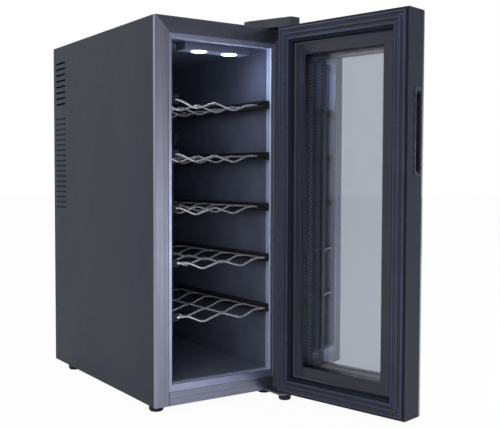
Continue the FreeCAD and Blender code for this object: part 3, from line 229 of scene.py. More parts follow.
handling = {"stretch": (9.0, 9.0, 3.0), "wipe": (1.0, 5.0, 0.6), "wipeShare": 0.65,
            "finger": (46.0, 3.0, 0.5), "fingerShare": 0.35, "smudge": (0.35, 0.68),
            "upward": (0.55, 1.0), "grains": (420.0, 4.0, 0.7), "dust": (0.4, 0.7)}


def makeHandling():
    # faint wipe marks and finger smudges, and a little dust on what faces up
    tree, source, sink = newEffect(
        "handling marks",
        [("Vector", "NodeSocketVector")],
        [("Smudge", "NodeSocketFloat"), ("Dust", "NodeSocketFloat")],
    )
    wipe = noise(tree, stretched(tree, source.outputs["Vector"], handling["stretch"]), *handling["wipe"])
    finger = noise(tree, source.outputs["Vector"], *handling["finger"])
    both = weighted(tree, wipe, handling["wipeShare"], finger, handling["fingerShare"])
    tree.links.new(spread(tree, both, *handling["smudge"]), sink.inputs["Smudge"])
    geometry = addNode(tree, "ShaderNodeNewGeometry")
    up = spread(tree, splitAxes(tree, geometry.outputs["Normal"])["Z"], *handling["upward"])
    grains = spread(tree, noise(tree, source.outputs["Vector"], *handling["grains"]), *handling["dust"])
    tree.links.new(addMath(tree, "MULTIPLY", up, grains), sink.inputs["Dust"])
    return tree


def makeToneMix():
    tree, source, sink = newEffect(
        "two tones",
        [("Tone A", "NodeSocketColor"), ("Tone B", "NodeSocketColor"), ("Mask", "NodeSocketFloat", 0.5)],
        [("Color", "NodeSocketColor")],
    )
    mixer = addNode(tree, "ShaderNodeMix", data_type="RGBA")
    tree.links.new(source.outputs["Mask"], mixer.inputs["Factor"])
    tree.links.new(source.outputs["Tone A"], mixer.inputs["A"])
    tree.links.new(source.outputs["Tone B"], mixer.inputs["B"])
    tree.links.new(mixer.outputs["Result"], sink.inputs["Color"])
    return tree


effects = {
    "brushed": makeBrushing(),
    "powder": makePowder(),
    "moulded": makeMoulding(),
    "wear": makeEdgeWear(),
    "marks": makeHandling(),
    "tones": makeToneMix(),
}
print("shader effects built:", len(effects))


def place(tree, effect, vector=None):
    node = addNode(tree, "ShaderNodeGroup", node_tree=effects[effect], label=effect)
    if vector is not None:
        tree.links.new(vector, node.inputs["Vector"])
    return node


def srgb(red, green, blue):
    def linear(value):
        value /= 255.0
        return value / 12.92 if value <= 0.04045 else ((value + 0.055) / 1.055) ** 2.4
    return (linear(red), linear(green), linear(blue), 1.0)


def newMaterial(name):
    material = bpy.data.materials.new(name)
    material.use_nodes = True
    tree = material.node_tree
    tree.nodes.clear()
    output = addNode(tree, "ShaderNodeOutputMaterial")
    shader = addNode(tree, "ShaderNodeBsdfPrincipled")
    tree.links.new(shader.outputs["BSDF"], output.inputs["Surface"])
    return material, tree, shader


def objectCoords(tree):
    return addNode(tree, "ShaderNodeTexCoord").outputs["Object"]


def addBump(tree, shader, height, strength, distance):
    bump = addNode(tree, "ShaderNodeBump")
    fill(bump, {"Strength": strength, "Distance": mm(distance)})
    tree.links.new(height, bump.inputs["Height"])
    tree.links.new(bump.outputs["Normal"], shader.inputs["Normal"])


def twoTones(tree, first, second, mask):
    # first and second are colours or the output of another mix
    node = place(tree, "tones")
    for label, value in (("Tone A", first), ("Tone B", second)):
        if isinstance(value, tuple):
            node.inputs[label].default_value = value
        else:
            tree.links.new(value, node.inputs[label])
    tree.links.new(mask, node.inputs["Mask"])
    return node.outputs["Color"]


# shares of the handling marks in every finish, and the shade in an open joint
common = {"smudge": 0.15, "dustTone": srgb(150, 148, 145), "smudgeShare": 0.6, "grainShare": 0.4,
          "seamTone": srgb(30, 31, 38), "seamFade": 0.3}


def makeFinish(name, look):
    # look: base, second, grain, size, rough, metal, specular, bump, wear, wornTone, dust, turn, seam
    material, tree, shader = newMaterial(name)
    coords = objectCoords(tree)
    if look.get("turn"):
        turned = addNode(tree, "ShaderNodeMapping")
        fill(turned, {"Rotation": (0, 0, math.radians(look["turn"]))})
        tree.links.new(coords, turned.inputs["Vector"])
        coords = turned.outputs["Vector"]
    grain = place(tree, look["grain"], coords)
    fill(grain, {"Stretch" if look["grain"] == "brushed" else "Size": look["size"]})
    marks = place(tree, "marks", coords)
    color = twoTones(tree, look["base"], look["second"], grain.outputs["Tone"])
    smudge = addMath(tree, "MULTIPLY", marks.outputs["Smudge"], look.get("smudge", common["smudge"]))
    color = twoTones(tree, color, look["second"], smudge)
    if look.get("wear"):
        wear = place(tree, "wear", coords)
        fill(wear, {"Amount": look["wear"]})
        color = twoTones(tree, color, look["wornTone"], wear.outputs["Mask"])
    if look.get("dust"):
        dust = addMath(tree, "MULTIPLY", marks.outputs["Dust"], look["dust"])
        color = twoTones(tree, color, common["dustTone"], dust)
    if look.get("seam"):
        across = addMath(tree, "ABSOLUTE", splitAxes(tree, coords)["X"])
        ends = spread(tree, across, look["seam"], look["seam"] + mm(common["seamFade"]))
        color = twoTones(tree, color, common["seamTone"], ends)
    tree.links.new(color, shader.inputs["Base Color"])
    gloss = weighted(tree, marks.outputs["Smudge"], common["smudgeShare"],
                     grain.outputs["Tone"], common["grainShare"])
    tree.links.new(spread(tree, gloss, 0.0, 1.0, *look["rough"]), shader.inputs["Roughness"])
    shader.inputs["Metallic"].default_value = look.get("metal", 0.0)
    shader.inputs["Specular IOR Level"].default_value = look.get("specular", 0.5)
    addBump(tree, shader, grain.outputs["Height"], *look["bump"])
    return material


cabinetLooks = {
    "panel": {"base": srgb(49, 53, 65), "second": srgb(42, 45, 56), "grain": "powder", "size": 620.0,
              "rough": (0.50, 0.66), "specular": 0.22, "bump": (0.25, 0.05), "wear": 0.5,
              "wornTone": srgb(96, 100, 112), "dust": 0.08},
    "galvanised": {"base": srgb(150, 154, 158), "second": srgb(120, 124, 130), "grain": "moulded", "size": 90.0,
                   "metal": 0.9, "rough": (0.35, 0.6), "bump": (0.2, 0.04), "dust": 0.1},
    "liner": {"base": srgb(88, 94, 113), "second": srgb(76, 81, 98), "grain": "moulded", "size": 820.0,
              "rough": (0.42, 0.6), "bump": (0.25, 0.05)},
    "foam": {"base": srgb(214, 200, 150), "second": srgb(190, 172, 120), "grain": "powder", "size": 240.0,
             "rough": (0.8, 0.95), "bump": (0.6, 0.6)},
    "rail": {"base": srgb(24, 25, 30), "second": srgb(18, 19, 23), "grain": "moulded", "size": 900.0,
             "rough": (0.4, 0.6), "bump": (0.25, 0.05), "wear": 0.35, "wornTone": srgb(60, 62, 70)},
    "rubber": {"base": srgb(22, 22, 24), "second": srgb(30, 30, 33), "grain": "powder", "size": 900.0,
               "rough": (0.65, 0.85), "bump": (0.4, 0.08), "dust": 0.2},
    "blackplastic": {"base": srgb(27, 28, 33), "second": srgb(20, 21, 25), "grain": "moulded", "size": 1000.0,
                     "rough": (0.38, 0.55), "bump": (0.25, 0.05), "wear": 0.4, "wornTone": srgb(64, 66, 72),
                     "dust": 0.1},
    "hingecover": {"base": srgb(59, 62, 71), "second": srgb(51, 54, 62), "grain": "moulded", "size": 900.0,
                   "rough": (0.4, 0.56), "bump": (0.25, 0.05), "wear": 0.5, "wornTone": srgb(88, 91, 101),
                   "dust": 0.1},
    "spacer": {"base": srgb(84, 90, 102), "second": srgb(68, 73, 84), "grain": "brushed",
               "size": (400, 400, 30), "metal": 0.6, "rough": (0.3, 0.44), "bump": (0.2, 0.03)},
    "pores": {"base": srgb(228, 232, 238), "second": srgb(204, 209, 217), "grain": "powder", "size": 2400.0,
              "rough": (0.5, 0.7), "bump": (0.4, 0.05)},
    "ceramic": {"base": srgb(226, 224, 216), "second": srgb(206, 203, 194), "grain": "powder", "size": 800.0,
                "rough": (0.4, 0.6), "bump": (0.2, 0.03)},
    "bush": {"base": srgb(206, 205, 198), "second": srgb(186, 184, 176), "grain": "moulded", "size": 900.0,
             "rough": (0.35, 0.55), "bump": (0.2, 0.04)},
    "magnet": {"base": srgb(52, 48, 45), "second": srgb(38, 36, 34), "grain": "powder", "size": 700.0,
               "rough": (0.6, 0.8), "bump": (0.3, 0.05)},
}

metalLooks = {
    "frame": {"base": srgb(170, 172, 190), "second": srgb(126, 128, 148), "grain": "brushed",
              "size": (620, 620, 5), "metal": 0.9, "rough": (0.30, 0.44), "bump": (0.4, 0.04), "wear": 0.8,
              "wornTone": srgb(196, 199, 216)},
    # painted shade: the top rail is a darker copy of the stile finish, the same metal brushed along the rail
    "topRailShaded": {"base": srgb(132, 135, 154), "second": srgb(106, 109, 128), "grain": "brushed",
                "size": (5, 620, 620), "metal": 0.9, "rough": (0.18, 0.3), "bump": (0.4, 0.04), "wear": 0.8,
                "wornTone": srgb(186, 189, 206)},
    # painted shade: a copy of the stile finish, darker than the stiles but lightened again against the dimmer
    # floor it mirrors; brushed along the rail
    "bottomRailShaded": {"base": srgb(158, 161, 184), "second": srgb(130, 133, 154), "grain": "brushed",
                   "size": (5, 620, 620), "metal": 0.9, "rough": (0.18, 0.3), "bump": (0.4, 0.04), "wear": 0.8,
                   "wornTone": srgb(186, 189, 206), "seam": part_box("bottom_rail")[1][0] - mm(1.0)},
    "doorframe": {"base": srgb(38, 42, 59), "second": srgb(32, 35, 50), "grain": "powder", "size": 900.0,
                  "metal": 0.0, "turn": doorTurn, "rough": (0.42, 0.56), "specular": 0.25, "bump": (0.2, 0.04),
                  "wear": 0.6, "wornTone": srgb(104, 108, 122)},
    "steel": {"base": srgb(150, 152, 156), "second": srgb(118, 120, 124), "grain": "brushed",
              "size": (500, 500, 40), "metal": 0.95, "rough": (0.28, 0.42), "bump": (0.2, 0.03)},
    "chrome": {"base": srgb(232, 232, 236), "second": srgb(212, 213, 218), "grain": "powder", "size": 500.0,
               "metal": 0.8, "rough": (0.16, 0.28), "bump": (0.08, 0.02), "smudge": 0.3},
    "alu": {"base": srgb(196, 199, 204), "second": srgb(168, 171, 178), "grain": "brushed",
            "size": (40, 900, 900), "metal": 0.95, "rough": (0.3, 0.45), "bump": (0.2, 0.03)},
}

sealLooks = {
    "gasket": {"base": srgb(55, 61, 84), "second": srgb(46, 51, 72), "grain": "moulded", "size": 1300.0,
               "rough": (0.22, 0.36), "specular": 0.35, "bump": (0.2, 0.03), "dust": 0.05, "turn": doorTurn},
    "cup": {"base": srgb(38, 41, 50), "second": srgb(31, 33, 41), "grain": "moulded", "size": 900.0,
            "rough": (0.34, 0.5), "bump": (0.2, 0.03), "wear": 0.9, "wornTone": srgb(150, 156, 168),
            "turn": doorTurn},
    # flange: near-black, painted shade of the grooves on either side of the gasket bellows
    "flange": {"base": srgb(13, 14, 20), "second": srgb(9, 10, 14), "grain": "powder", "size": 1200.0,
               "rough": (0.6, 0.8), "bump": (0.3, 0.05), "turn": doorTurn},
    "retainer": {"base": srgb(20, 24, 44), "second": srgb(15, 18, 35), "grain": "moulded", "size": 1100.0,
                 "rough": (0.13, 0.24), "specular": 0.6, "bump": (0.2, 0.03), "wear": 0.3,
                 "wornTone": srgb(70, 72, 84), "turn": doorTurn},
}

finishes = {}
for looks in (cabinetLooks, metalLooks, sealLooks):
    for name, look in looks.items():
        finishes[name] = makeFinish(name, look)
print("painted, moulded and metal finishes:", len(finishes))


glassLook = {"smoke": (0.012, 0.013, 0.016, 1.0), "mirrorIor": 5.0,  # half-mirrored outer pane
             "clear": (0.90, 0.93, 1.0, 1.0), "clearIor": 1.5, "smear": (0.45, 1.0), "smearRough": 0.012}


def makeGlass(name, color, ior):
    # smears only change how sharp the sheen is; metal and transmission stay plain
    material, tree, shader = newMaterial(name)
    marks = place(tree, "marks", objectCoords(tree))
    shader.inputs["Base Color"].default_value = color
    shader.inputs["Metallic"].default_value = 0.0
    shader.inputs["Transmission Weight"].default_value = 1.0
    shader.inputs["IOR"].default_value = ior
    rough = spread(tree, marks.outputs["Smudge"], *glassLook["smear"], 0.0, glassLook["smearRough"])
    tree.links.new(rough, shader.inputs["Roughness"])
    return material


lensLook = {"body": (0.85, 0.9, 1.0, 1.0), "glow": (0.86, 0.93, 1.0, 1.0), "rim": (0.25, 0.42, 1.0, 1.0),
            "rimWidth": 0.35, "strength": 5.0, "grain": 1500.0, "rough": (0.25, 0.4), "bump": (0.2, 0.05)}


def makeLens():
    # frosted diffuser: white in the middle of each lens, blue towards its rim
    material, tree, shader = newMaterial("lens")
    grain = place(tree, "moulded", objectCoords(tree))
    fill(grain, {"Size": lensLook["grain"]})
    rim = addNode(tree, "ShaderNodeLayerWeight")
    fill(rim, {"Blend": lensLook["rimWidth"]})
    glow = twoTones(tree, lensLook["glow"], lensLook["rim"], rim.outputs["Facing"])
    tree.links.new(glow, shader.inputs["Emission Color"])
    shader.inputs["Emission Strength"].default_value = lensLook["strength"]
    shader.inputs["Base Color"].default_value = lensLook["body"]
    rough = spread(tree, grain.outputs["Tone"], 0.0, 1.0, *lensLook["rough"])
    tree.links.new(rough, shader.inputs["Roughness"])
    addBump(tree, shader, grain.outputs["Height"], *lensLook["bump"])
    return material


boardLook = {"mask": srgb(20, 70, 42), "maskPale": srgb(28, 86, 54), "copper": srgb(58, 122, 70),
             "grain": 1200.0, "trackPitch": 120.0, "trackWidth": 0.06, "rough": (0.3, 0.45),
             "bump": (0.3, 0.05)}


def makeBoard():
    # green laminate with copper tracks under the mask
    material, tree, shader = newMaterial("board")
    coords = objectCoords(tree)
    weave = place(tree, "powder", coords)
    fill(weave, {"Size": boardLook["grain"]})
    tracks = addNode(tree, "ShaderNodeTexBrick")
    fill(tracks, {"Scale": boardLook["trackPitch"], "Mortar Size": boardLook["trackWidth"]})
    tree.links.new(coords, tracks.inputs["Vector"])
    color = twoTones(tree, boardLook["mask"], boardLook["maskPale"], weave.outputs["Tone"])
    color = twoTones(tree, color, boardLook["copper"], tracks.outputs["Fac"])
    tree.links.new(color, shader.inputs["Base Color"])
    rough = spread(tree, weave.outputs["Tone"], 0.0, 1.0, *boardLook["rough"])
    tree.links.new(rough, shader.inputs["Roughness"])
    addBump(tree, shader, tracks.outputs["Fac"], *boardLook["bump"])
    return material


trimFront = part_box("mouth_trim")[0][1]
trimLook = {
    "flange": srgb(176, 180, 212), "flangeWorn": srgb(150, 154, 186), "metal": (0.8, 0.1),
    # crest: painted highlight, near-white on the front of the lip
    "lip": srgb(158, 168, 202), "lipWorn": srgb(142, 151, 184), "crest": srgb(236, 241, 255),
    "grain": 1100.0, "rough": (0.18, 0.3), "bump": (0.12, 0.02),
    "lipStart": (trimFront + mm(1.8), trimFront + mm(2.6)),
    # depth over which the painted highlight fades into the lip colour
    "highlightFade": (trimFront + mm(2.8), trimFront + mm(4.8)),
}


def makeTrim():
    # satin flange on the front, paler moulded lip; a painted highlight in the near-white crest colour runs
    # along the lip's front and fades going into the mouth
    material, tree, shader = newMaterial("trim")
    coords = objectCoords(tree)
    depth = splitAxes(tree, coords)["Y"]
    inside = spread(tree, depth, *trimLook["lipStart"])
    grain = place(tree, "moulded", coords)
    fill(grain, {"Size": trimLook["grain"]})
    marks = place(tree, "marks", coords)
    front = twoTones(tree, trimLook["flange"], trimLook["flangeWorn"], marks.outputs["Smudge"])
    lip = twoTones(tree, trimLook["lip"], trimLook["lipWorn"], grain.outputs["Tone"])
    # painted highlight: crest colour at the lip's front, the lip colour deeper in
    lip = twoTones(tree, trimLook["crest"], lip, spread(tree, depth, *trimLook["highlightFade"]))
    tree.links.new(twoTones(tree, front, lip, inside), shader.inputs["Base Color"])
    tree.links.new(spread(tree, inside, 0.0, 1.0, *trimLook["metal"]), shader.inputs["Metallic"])
    rough = spread(tree, marks.outputs["Smudge"], 0.0, 1.0, *trimLook["rough"])
    tree.links.new(rough, shader.inputs["Roughness"])
    addBump(tree, shader, grain.outputs["Height"], *trimLook["bump"])
    return material


finishes["trim"] = makeTrim()
finishes["glassouter"] = makeGlass("glassouter", glassLook["smoke"], glassLook["mirrorIor"])
finishes["glassinner"] = makeGlass("glassinner", glassLook["clear"], glassLook["clearIor"])
finishes["lens"] = makeLens()
finishes["board"] = makeBoard()
print("glass, lens and board finishes done")


partsByFinish = {
    "panel": ["left_side_panel", "right_side_panel", "top_panel", "rear_panel"],
    "galvanised": ["base_plate", "bulkhead"],
    "frame": ["left_stile", "right_stile"],
    "topRailShaded": ["top_rail"],
    "bottomRailShaded": ["bottom_rail"],
    "trim": ["mouth_trim"],
    "liner": ["inner_liner", "cold_fan_cover", "light_housing", "temperature_sensor"],
    "foam": ["insulation_foam"],
    "rail": ["left_shelf_rails", "right_shelf_rails"],
    "chrome": ["shelf_1", "shelf_2", "shelf_3", "shelf_4", "shelf_5"],
    "rubber": ["feet"],
    "blackplastic": ["cold_fan_frame", "cold_fan_rotor", "hot_fan_frame", "hot_fan_rotor", "mains_inlet",
                     "bottom_hinge_foot", "handle_cup"],
    "hingecover": ["top_hinge_cover"],
    "spacer": ["glass_spacer"],
    "lens": ["led_lenses"],
    "board": ["led_board", "power_board", "touch_board"],
    "alu": ["cold_sink", "thermal_block", "hot_sink"],
    "ceramic": ["peltier_module"],
    "steel": ["fan_guard", "rear_panel_screws", "top_hinge_bracket", "top_hinge_pin", "bottom_hinge_bracket",
              "bottom_hinge_pin", "hinge_screws"],
    "bush": ["board_standoffs", "hinge_bushes"],
    "glassouter": ["outer_glass"],
    "doorframe": ["door_hinge_profile", "door_handle_profile", "door_bottom_cap", "door_top_cap"],
    "gasket": ["door_gasket"],
    "magnet": ["gasket_magnets"],
    "retainer": ["glazing_retainer"],
    "glassinner": ["inner_glass"],
}

for finish, parts in partsByFinish.items():
    for part in parts:
        mesh = nodes[part].data
        mesh.materials.clear()
        mesh.materials.append(finishes[finish])
print("finishes laid on", sum(len(parts) for parts in partsByFinish.values()), "parts")


edgeRounds = {  # radius in mm
    "left_stile": 1.0, "right_stile": 1.0, "top_rail": 1.0, "bottom_rail": 1.0, "mouth_trim": 1.0,
    "door_hinge_profile": 0.8, "door_handle_profile": 0.6, "handle_cup": 0.3,
    "outer_glass": 0.6, "inner_glass": 0.5, "left_shelf_rails": 0.5, "right_shelf_rails": 0.5,
    "cold_fan_cover": 1.2, "mains_inlet": 0.5,
}
rounding = {"weld": 0.005, "steps": 2, "sharpest": 40}  # mm, steps across an edge, degrees

for part, radius in edgeRounds.items():
    weld = nodes[part].modifiers.new("weld", "WELD")
    weld.merge_threshold = mm(rounding["weld"])
    edges = nodes[part].modifiers.new("rounded edges", "BEVEL")
    edges.width = mm(radius)
    edges.segments = rounding["steps"]
    edges.limit_method = "ANGLE"
    edges.angle_limit = math.radians(rounding["sharpest"])
    edges.harden_normals = False
    edges.use_clamp_overlap = True
print("edges rounded on", len(edgeRounds), "parts")


# the door's pieces are drawn with the door shut and then swung open with it
doorLow, doorHigh = shutBox("door_bottom_cap", "door_top_cap")
door = {"halfWidth": doorHigh[0], "low": doorLow[2], "high": doorHigh[2], "innerFace": doorHigh[1]}
creases = {"ring": 50, "cup": 40}  # edges sharper than this many degrees stay sharp


def shutPoint(across, rise, left, low):
    # a point at one of the four corners, set in from the door's edges and up from its inner face
    x = -door["halfWidth"] + across if left else door["halfWidth"] - across
    z = door["low"] + across if low else door["high"] - across
    return swing @ Vector((mm(x), mm(door["innerFace"] + rise), mm(z)))


def joinLoops(mesh, here, there):
    for i in range(len(here)):
        j = (i + 1) % len(here)
        mesh.faces.new((here[i], here[j], there[j], there[i]))


def closeCup(mesh, loops):
    # skins the loops in turn and caps both ends
    for here, there in zip(loops, loops[1:]):
        joinLoops(mesh, here, there)
    mesh.faces.new(loops[0])
    mesh.faces.new(list(reversed(loops[-1])))


def meshPiece(name, mesh, finish, crease):
    bmesh.ops.recalc_face_normals(mesh, faces=mesh.faces)
    data = bpy.data.meshes.new(name)
    mesh.to_mesh(data)
    mesh.free()
    data.polygons.foreach_set("use_smooth", [True] * len(data.polygons))
    data.set_sharp_from_angle(angle=math.radians(creases[crease]))
    data.materials.append(finishes[finish])
    piece = bpy.data.objects.new(name, data)
    bpy.context.scene.collection.objects.link(piece)
    return piece


def mitredRing(name, section, finish):
    # sweeps a closed section, (set in, rise) pairs, round the door with mitred corners
    corners = [(True, True), (False, True), (False, False), (True, False)]
    mesh = bmesh.new()
    loops = [[mesh.verts.new(shutPoint(across, rise, *corner)) for across, rise in section]
             for corner in corners]
    for k in range(len(corners)):
        joinLoops(mesh, loops[k], loops[(k + 1) % len(corners)])
    return meshPiece(name, mesh, finish, "ring")


def arcPoints(center, radius, start, end, count):
    points = []
    for i in range(count + 1):
        angle = math.radians(start + (end - start) * i / count)
        points.append((center[0] + radius * math.cos(angle), center[1] + radius * math.sin(angle)))
    return points


# sections are in mm: in from the door's edge, and up from its inner face
seal = {"start": 4.0, "width": 20.0, "base": 2.0, "ridge": 1.8, "crest": 4.45, "arcSteps": 10,
        "foldLift": 0.5, "foldDepth": 0.9, "foldShare": 0.5}


def sealSection():
    # flat foot, three round ribs and the sunk bellows folds between them
    start, end = seal["start"], seal["start"] + seal["width"]
    centers = [start + seal["ridge"], (start + end) / 2, end - seal["ridge"]]
    middle = seal["crest"] - seal["ridge"]
    foldTop = seal["base"] + seal["foldLift"]
    section = [(end, 0.0), (start, 0.0)]
    for i, center in enumerate(centers):
        section += arcPoints((center, middle), seal["ridge"], 180, 0, seal["arcSteps"])
        if i < len(centers) - 1:
            gapStart, gapEnd = center + seal["ridge"], centers[i + 1] - seal["ridge"]
            gapMiddle, gapHalf = (gapStart + gapEnd) / 2, (gapEnd - gapStart) / 2
            dip = arcPoints((gapMiddle, foldTop), gapHalf, 180, 360, seal["arcSteps"])
            lowest = seal["base"] - seal["foldDepth"]
            section += [(x, max(lowest, foldTop + (y - foldTop) * seal["foldShare"])) for x, y in dip]
    return section


sealRing = mitredRing("gasket_bellows", sealSection(), "gasket")
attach(sealRing, "door")
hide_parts("door_gasket")

bead = {"start": 27.3, "width": 21.7, "top": -8.0, "bottom": -18.0, "shoulder": 0.6,
        "crestIn": 1.6, "crestUp": 0.2, "crest": 0.8, "crestArc": (150, 30, 6), "flat": 3.8,
        "ribsIn": 5.0, "ribsOut": 2.0, "ribs": 6, "ribDepth": 0.45,
        "rib": [(0, 0), (0.25, 1), (0.5, 1), (0.75, 0)],  # shares of the pitch and of the depth
        "edge": [(0.8, 0.0), (0.2, 0.3), (0.0, 1.0)]}  # rolled over on to the glass


def beadSection():
    # the retainer's face: a raised bead at the frame, then fine ribs down to the glass edge
    start, end, top = bead["start"], bead["start"] + bead["width"], bead["top"]
    section = [(end, bead["bottom"]), (start, bead["bottom"]), (start, top + bead["shoulder"])]
    section += arcPoints((start + bead["crestIn"], top + bead["crestUp"]), bead["crest"], *bead["crestArc"])
    ribStart, ribEnd = start + bead["ribsIn"], end - bead["ribsOut"]
    pitch = (ribEnd - ribStart) / bead["ribs"]
    section.append((start + bead["flat"], top))
    for i in range(bead["ribs"]):
        at = ribStart + i * pitch
        section += [(at + share * pitch, top - sunk * bead["ribDepth"]) for share, sunk in bead["rib"]]
    section += [(end - back, top - drop) for back, drop in bead["edge"]]
    return section


beadRing = mitredRing("retainer_ribs", beadSection(), "retainer")
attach(beadRing, "door")
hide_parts("glazing_retainer")
print("door seals swept:", len(sealRing.data.polygons) + len(beadRing.data.polygons), "faces")

# drying holes of the hollow spacer: two staggered rows of small bossed pores on each upright inner wall
spacerLow, spacerHigh = shutBox("glass_spacer")
pores = {"radius": 1.1, "pitch": 5.6, "proud": 0.2, "steps": 8, "wall": spacerHigh[0] - 8.97,
         "rows": (spacerHigh[1] - 3.5, spacerHigh[1] - 9.0), "low": spacerLow[2] + 13.0,
         "high": spacerHigh[2] - 13.0,
         "boss": [(1.0, 0.0), (0.92, 1.0), (0.6, 1.0), (0.45, 0.35)]}  # shares of the radius and of the rise


def addPore(mesh, x, y, z, side):
    # a closed little boss standing on the wall, its middle sunk
    loops = []
    for share, lift in pores["boss"]:
        loop = []
        for i in range(pores["steps"]):
            angle = 2 * math.pi * i / pores["steps"]
            radius = pores["radius"] * share
            out = x - side * pores["proud"] * lift
            point = Vector((mm(out), mm(y + radius * math.cos(angle)), mm(z + radius * math.sin(angle))))
            loop.append(mesh.verts.new(swing @ point))
        loops.append(loop)
    closeCup(mesh, loops)


poreMesh = bmesh.new()
for side in (-1, 1):
    for row, depth in enumerate(pores["rows"]):
        for i in range(int((pores["high"] - pores["low"]) / pores["pitch"])):
            height = pores["low"] + (i + 0.5 * row) * pores["pitch"]
            addPore(poreMesh, side * pores["wall"], depth, height, side)
spacerPores = meshPiece("spacer_pores", poreMesh, "pores", "cup")
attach(spacerPores, "door")
print("spacer pores:", len(spacerPores.data.polygons), "faces")

# finger cup with round ends, its lip raised round the slot
cupLow, cupHigh = shutBox("handle_cup")
cup = {"side": -door["halfWidth"], "depth": 16.0, "wall": 0.6, "slot": (6.6, 60.5), "lipShift": 0.65,
       "steps": 8,
       "middle": ((cupLow[1] + cupHigh[1]) / 2, (cupLow[2] + cupHigh[2]) / 2),
       "lip": ((cupHigh[1] - cupLow[1]) / 2, (cupHigh[2] - cupLow[2]) / 2)}


def roundLoop(mesh, half, radius, shift, x):
    # one closed loop of a rounded rectangle on a plane across x, shifted from the slot's middle
    loop = []
    middleY = cup["middle"][0] - cup["lipShift"] + shift
    for signY, signZ, start in ((1, 1, 0), (-1, 1, 90), (-1, -1, 180), (1, -1, 270)):
        center = (middleY + signY * (half[0] - radius), cup["middle"][1] + signZ * (half[1] - radius))
        for y, z in arcPoints(center, radius, start, start + 90, cup["steps"]):
            loop.append(mesh.verts.new(swing @ Vector((mm(x), mm(y), mm(z)))))
    return loop


def grown(half, extra):
    return (half[0] + extra, half[1] + extra)


def addFingerCup():
    # half size, corner radius, shift and place of each loop, from the cup's back over the lip to its floor
    side, slot, lip, shift = cup["side"], cup["slot"], cup["lip"], cup["lipShift"]
    floor, outer = side + cup["depth"], grown(slot, cup["wall"])
    rows = [
        (outer, 7.2, 0, floor),
        (outer, 7.2, 0, side),
        (lip, 3.0, shift, side),
        (lip, 3.0, shift, side - 0.9),
        (grown(lip, -0.4), 2.6, shift, side - 1.3),
        (grown(lip, -1.1), 2.2, shift, side - 1.25),
        (grown(lip, -1.5), 2.0, shift, side - 0.75),
        (grown(slot, 0.6), 7.1, 0, side - 0.7),
        (grown(slot, 0.15), 6.7, 0, side - 0.45),
        (slot, 6.6, 0, side),
        (slot, 6.6, 0, floor - 2.5),
        (grown(slot, -1.0), 5.0, 0, floor - 1.5),
    ]
    mesh = bmesh.new()
    closeCup(mesh, [roundLoop(mesh, *row) for row in rows])
    return meshPiece("finger_cup", mesh, "cup", "cup")


fingerCup = addFingerCup()
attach(fingerCup, "door")
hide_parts("handle_cup")

# near-black flanges of the gasket, outside and inside its bellows: painted shade of the grooves beside the
# bellows
shadeFlanges = {"places": {"outer": (0.7, 4.2), "inner": (23.8, 26.8)}, "rise": 0.5, "edge": 0.3}
for name, (start, end) in shadeFlanges["places"].items():
    rise, edge = shadeFlanges["rise"], shadeFlanges["edge"]
    section = [(end, 0.0), (start, 0.0), (start, rise / 2),
               (start + edge, rise), (end - edge, rise), (end, rise / 2)]
    flange = mitredRing("gasket_shade_flange_" + name, section, "flange")
    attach(flange, "door")
print("finger cup and gasket flanges:", len(fingerCup.data.polygons), "faces")


camera = {
    "lens": 58.7155, "sensor": 36.0, "place": (-0.709538, -1.342391, 0.375848),
    "pitch": 0.04503, "yaw": 0.59421, "roll": 0.0031, "range": (0.01, 60.0),
}


def addCamera():
    pitch, yaw, roll = camera["pitch"], camera["yaw"], camera["roll"]
    ahead = Vector((math.sin(yaw) * math.cos(pitch), math.cos(yaw) * math.cos(pitch), -math.sin(pitch)))
    level = Vector((math.cos(yaw), -math.sin(yaw), 0))
    upright = level.cross(ahead)
    right = level * math.cos(roll) + upright * math.sin(roll)
    up = upright * math.cos(roll) - level * math.sin(roll)
    data = bpy.data.cameras.new("camera")
    data.lens = camera["lens"]
    data.sensor_width = camera["sensor"]
    data.clip_start, data.clip_end = camera["range"]
    item = bpy.data.objects.new("camera", data)
    turn = Matrix((right, up, -ahead)).transposed().to_4x4()
    item.matrix_world = Matrix.Translation(camera["place"]) @ turn
    bpy.context.scene.collection.objects.link(item)
    bpy.context.scene.camera = item


addCamera()

studio = {
    "ambient": 0.5, "ambientTint": (0.95, 0.97, 1.0, 1.0), "backdrop": 1.0,
    "upperTone": (0.07, 0.07, 0.07, 1.0), "upperFrom": (-0.03, 0.17), "aheadFrom": (0.1, -0.45),
    "floor": (0.86, 0.86, 0.86, 1.0), "floorSize": 14.0, "floorRough": 0.7, "floorSpecular": 0.2,
    "floorShare": 0.96, "mirrorShare": 0.25,  # how much of the paper shows plain white; the rest keeps shadows
}


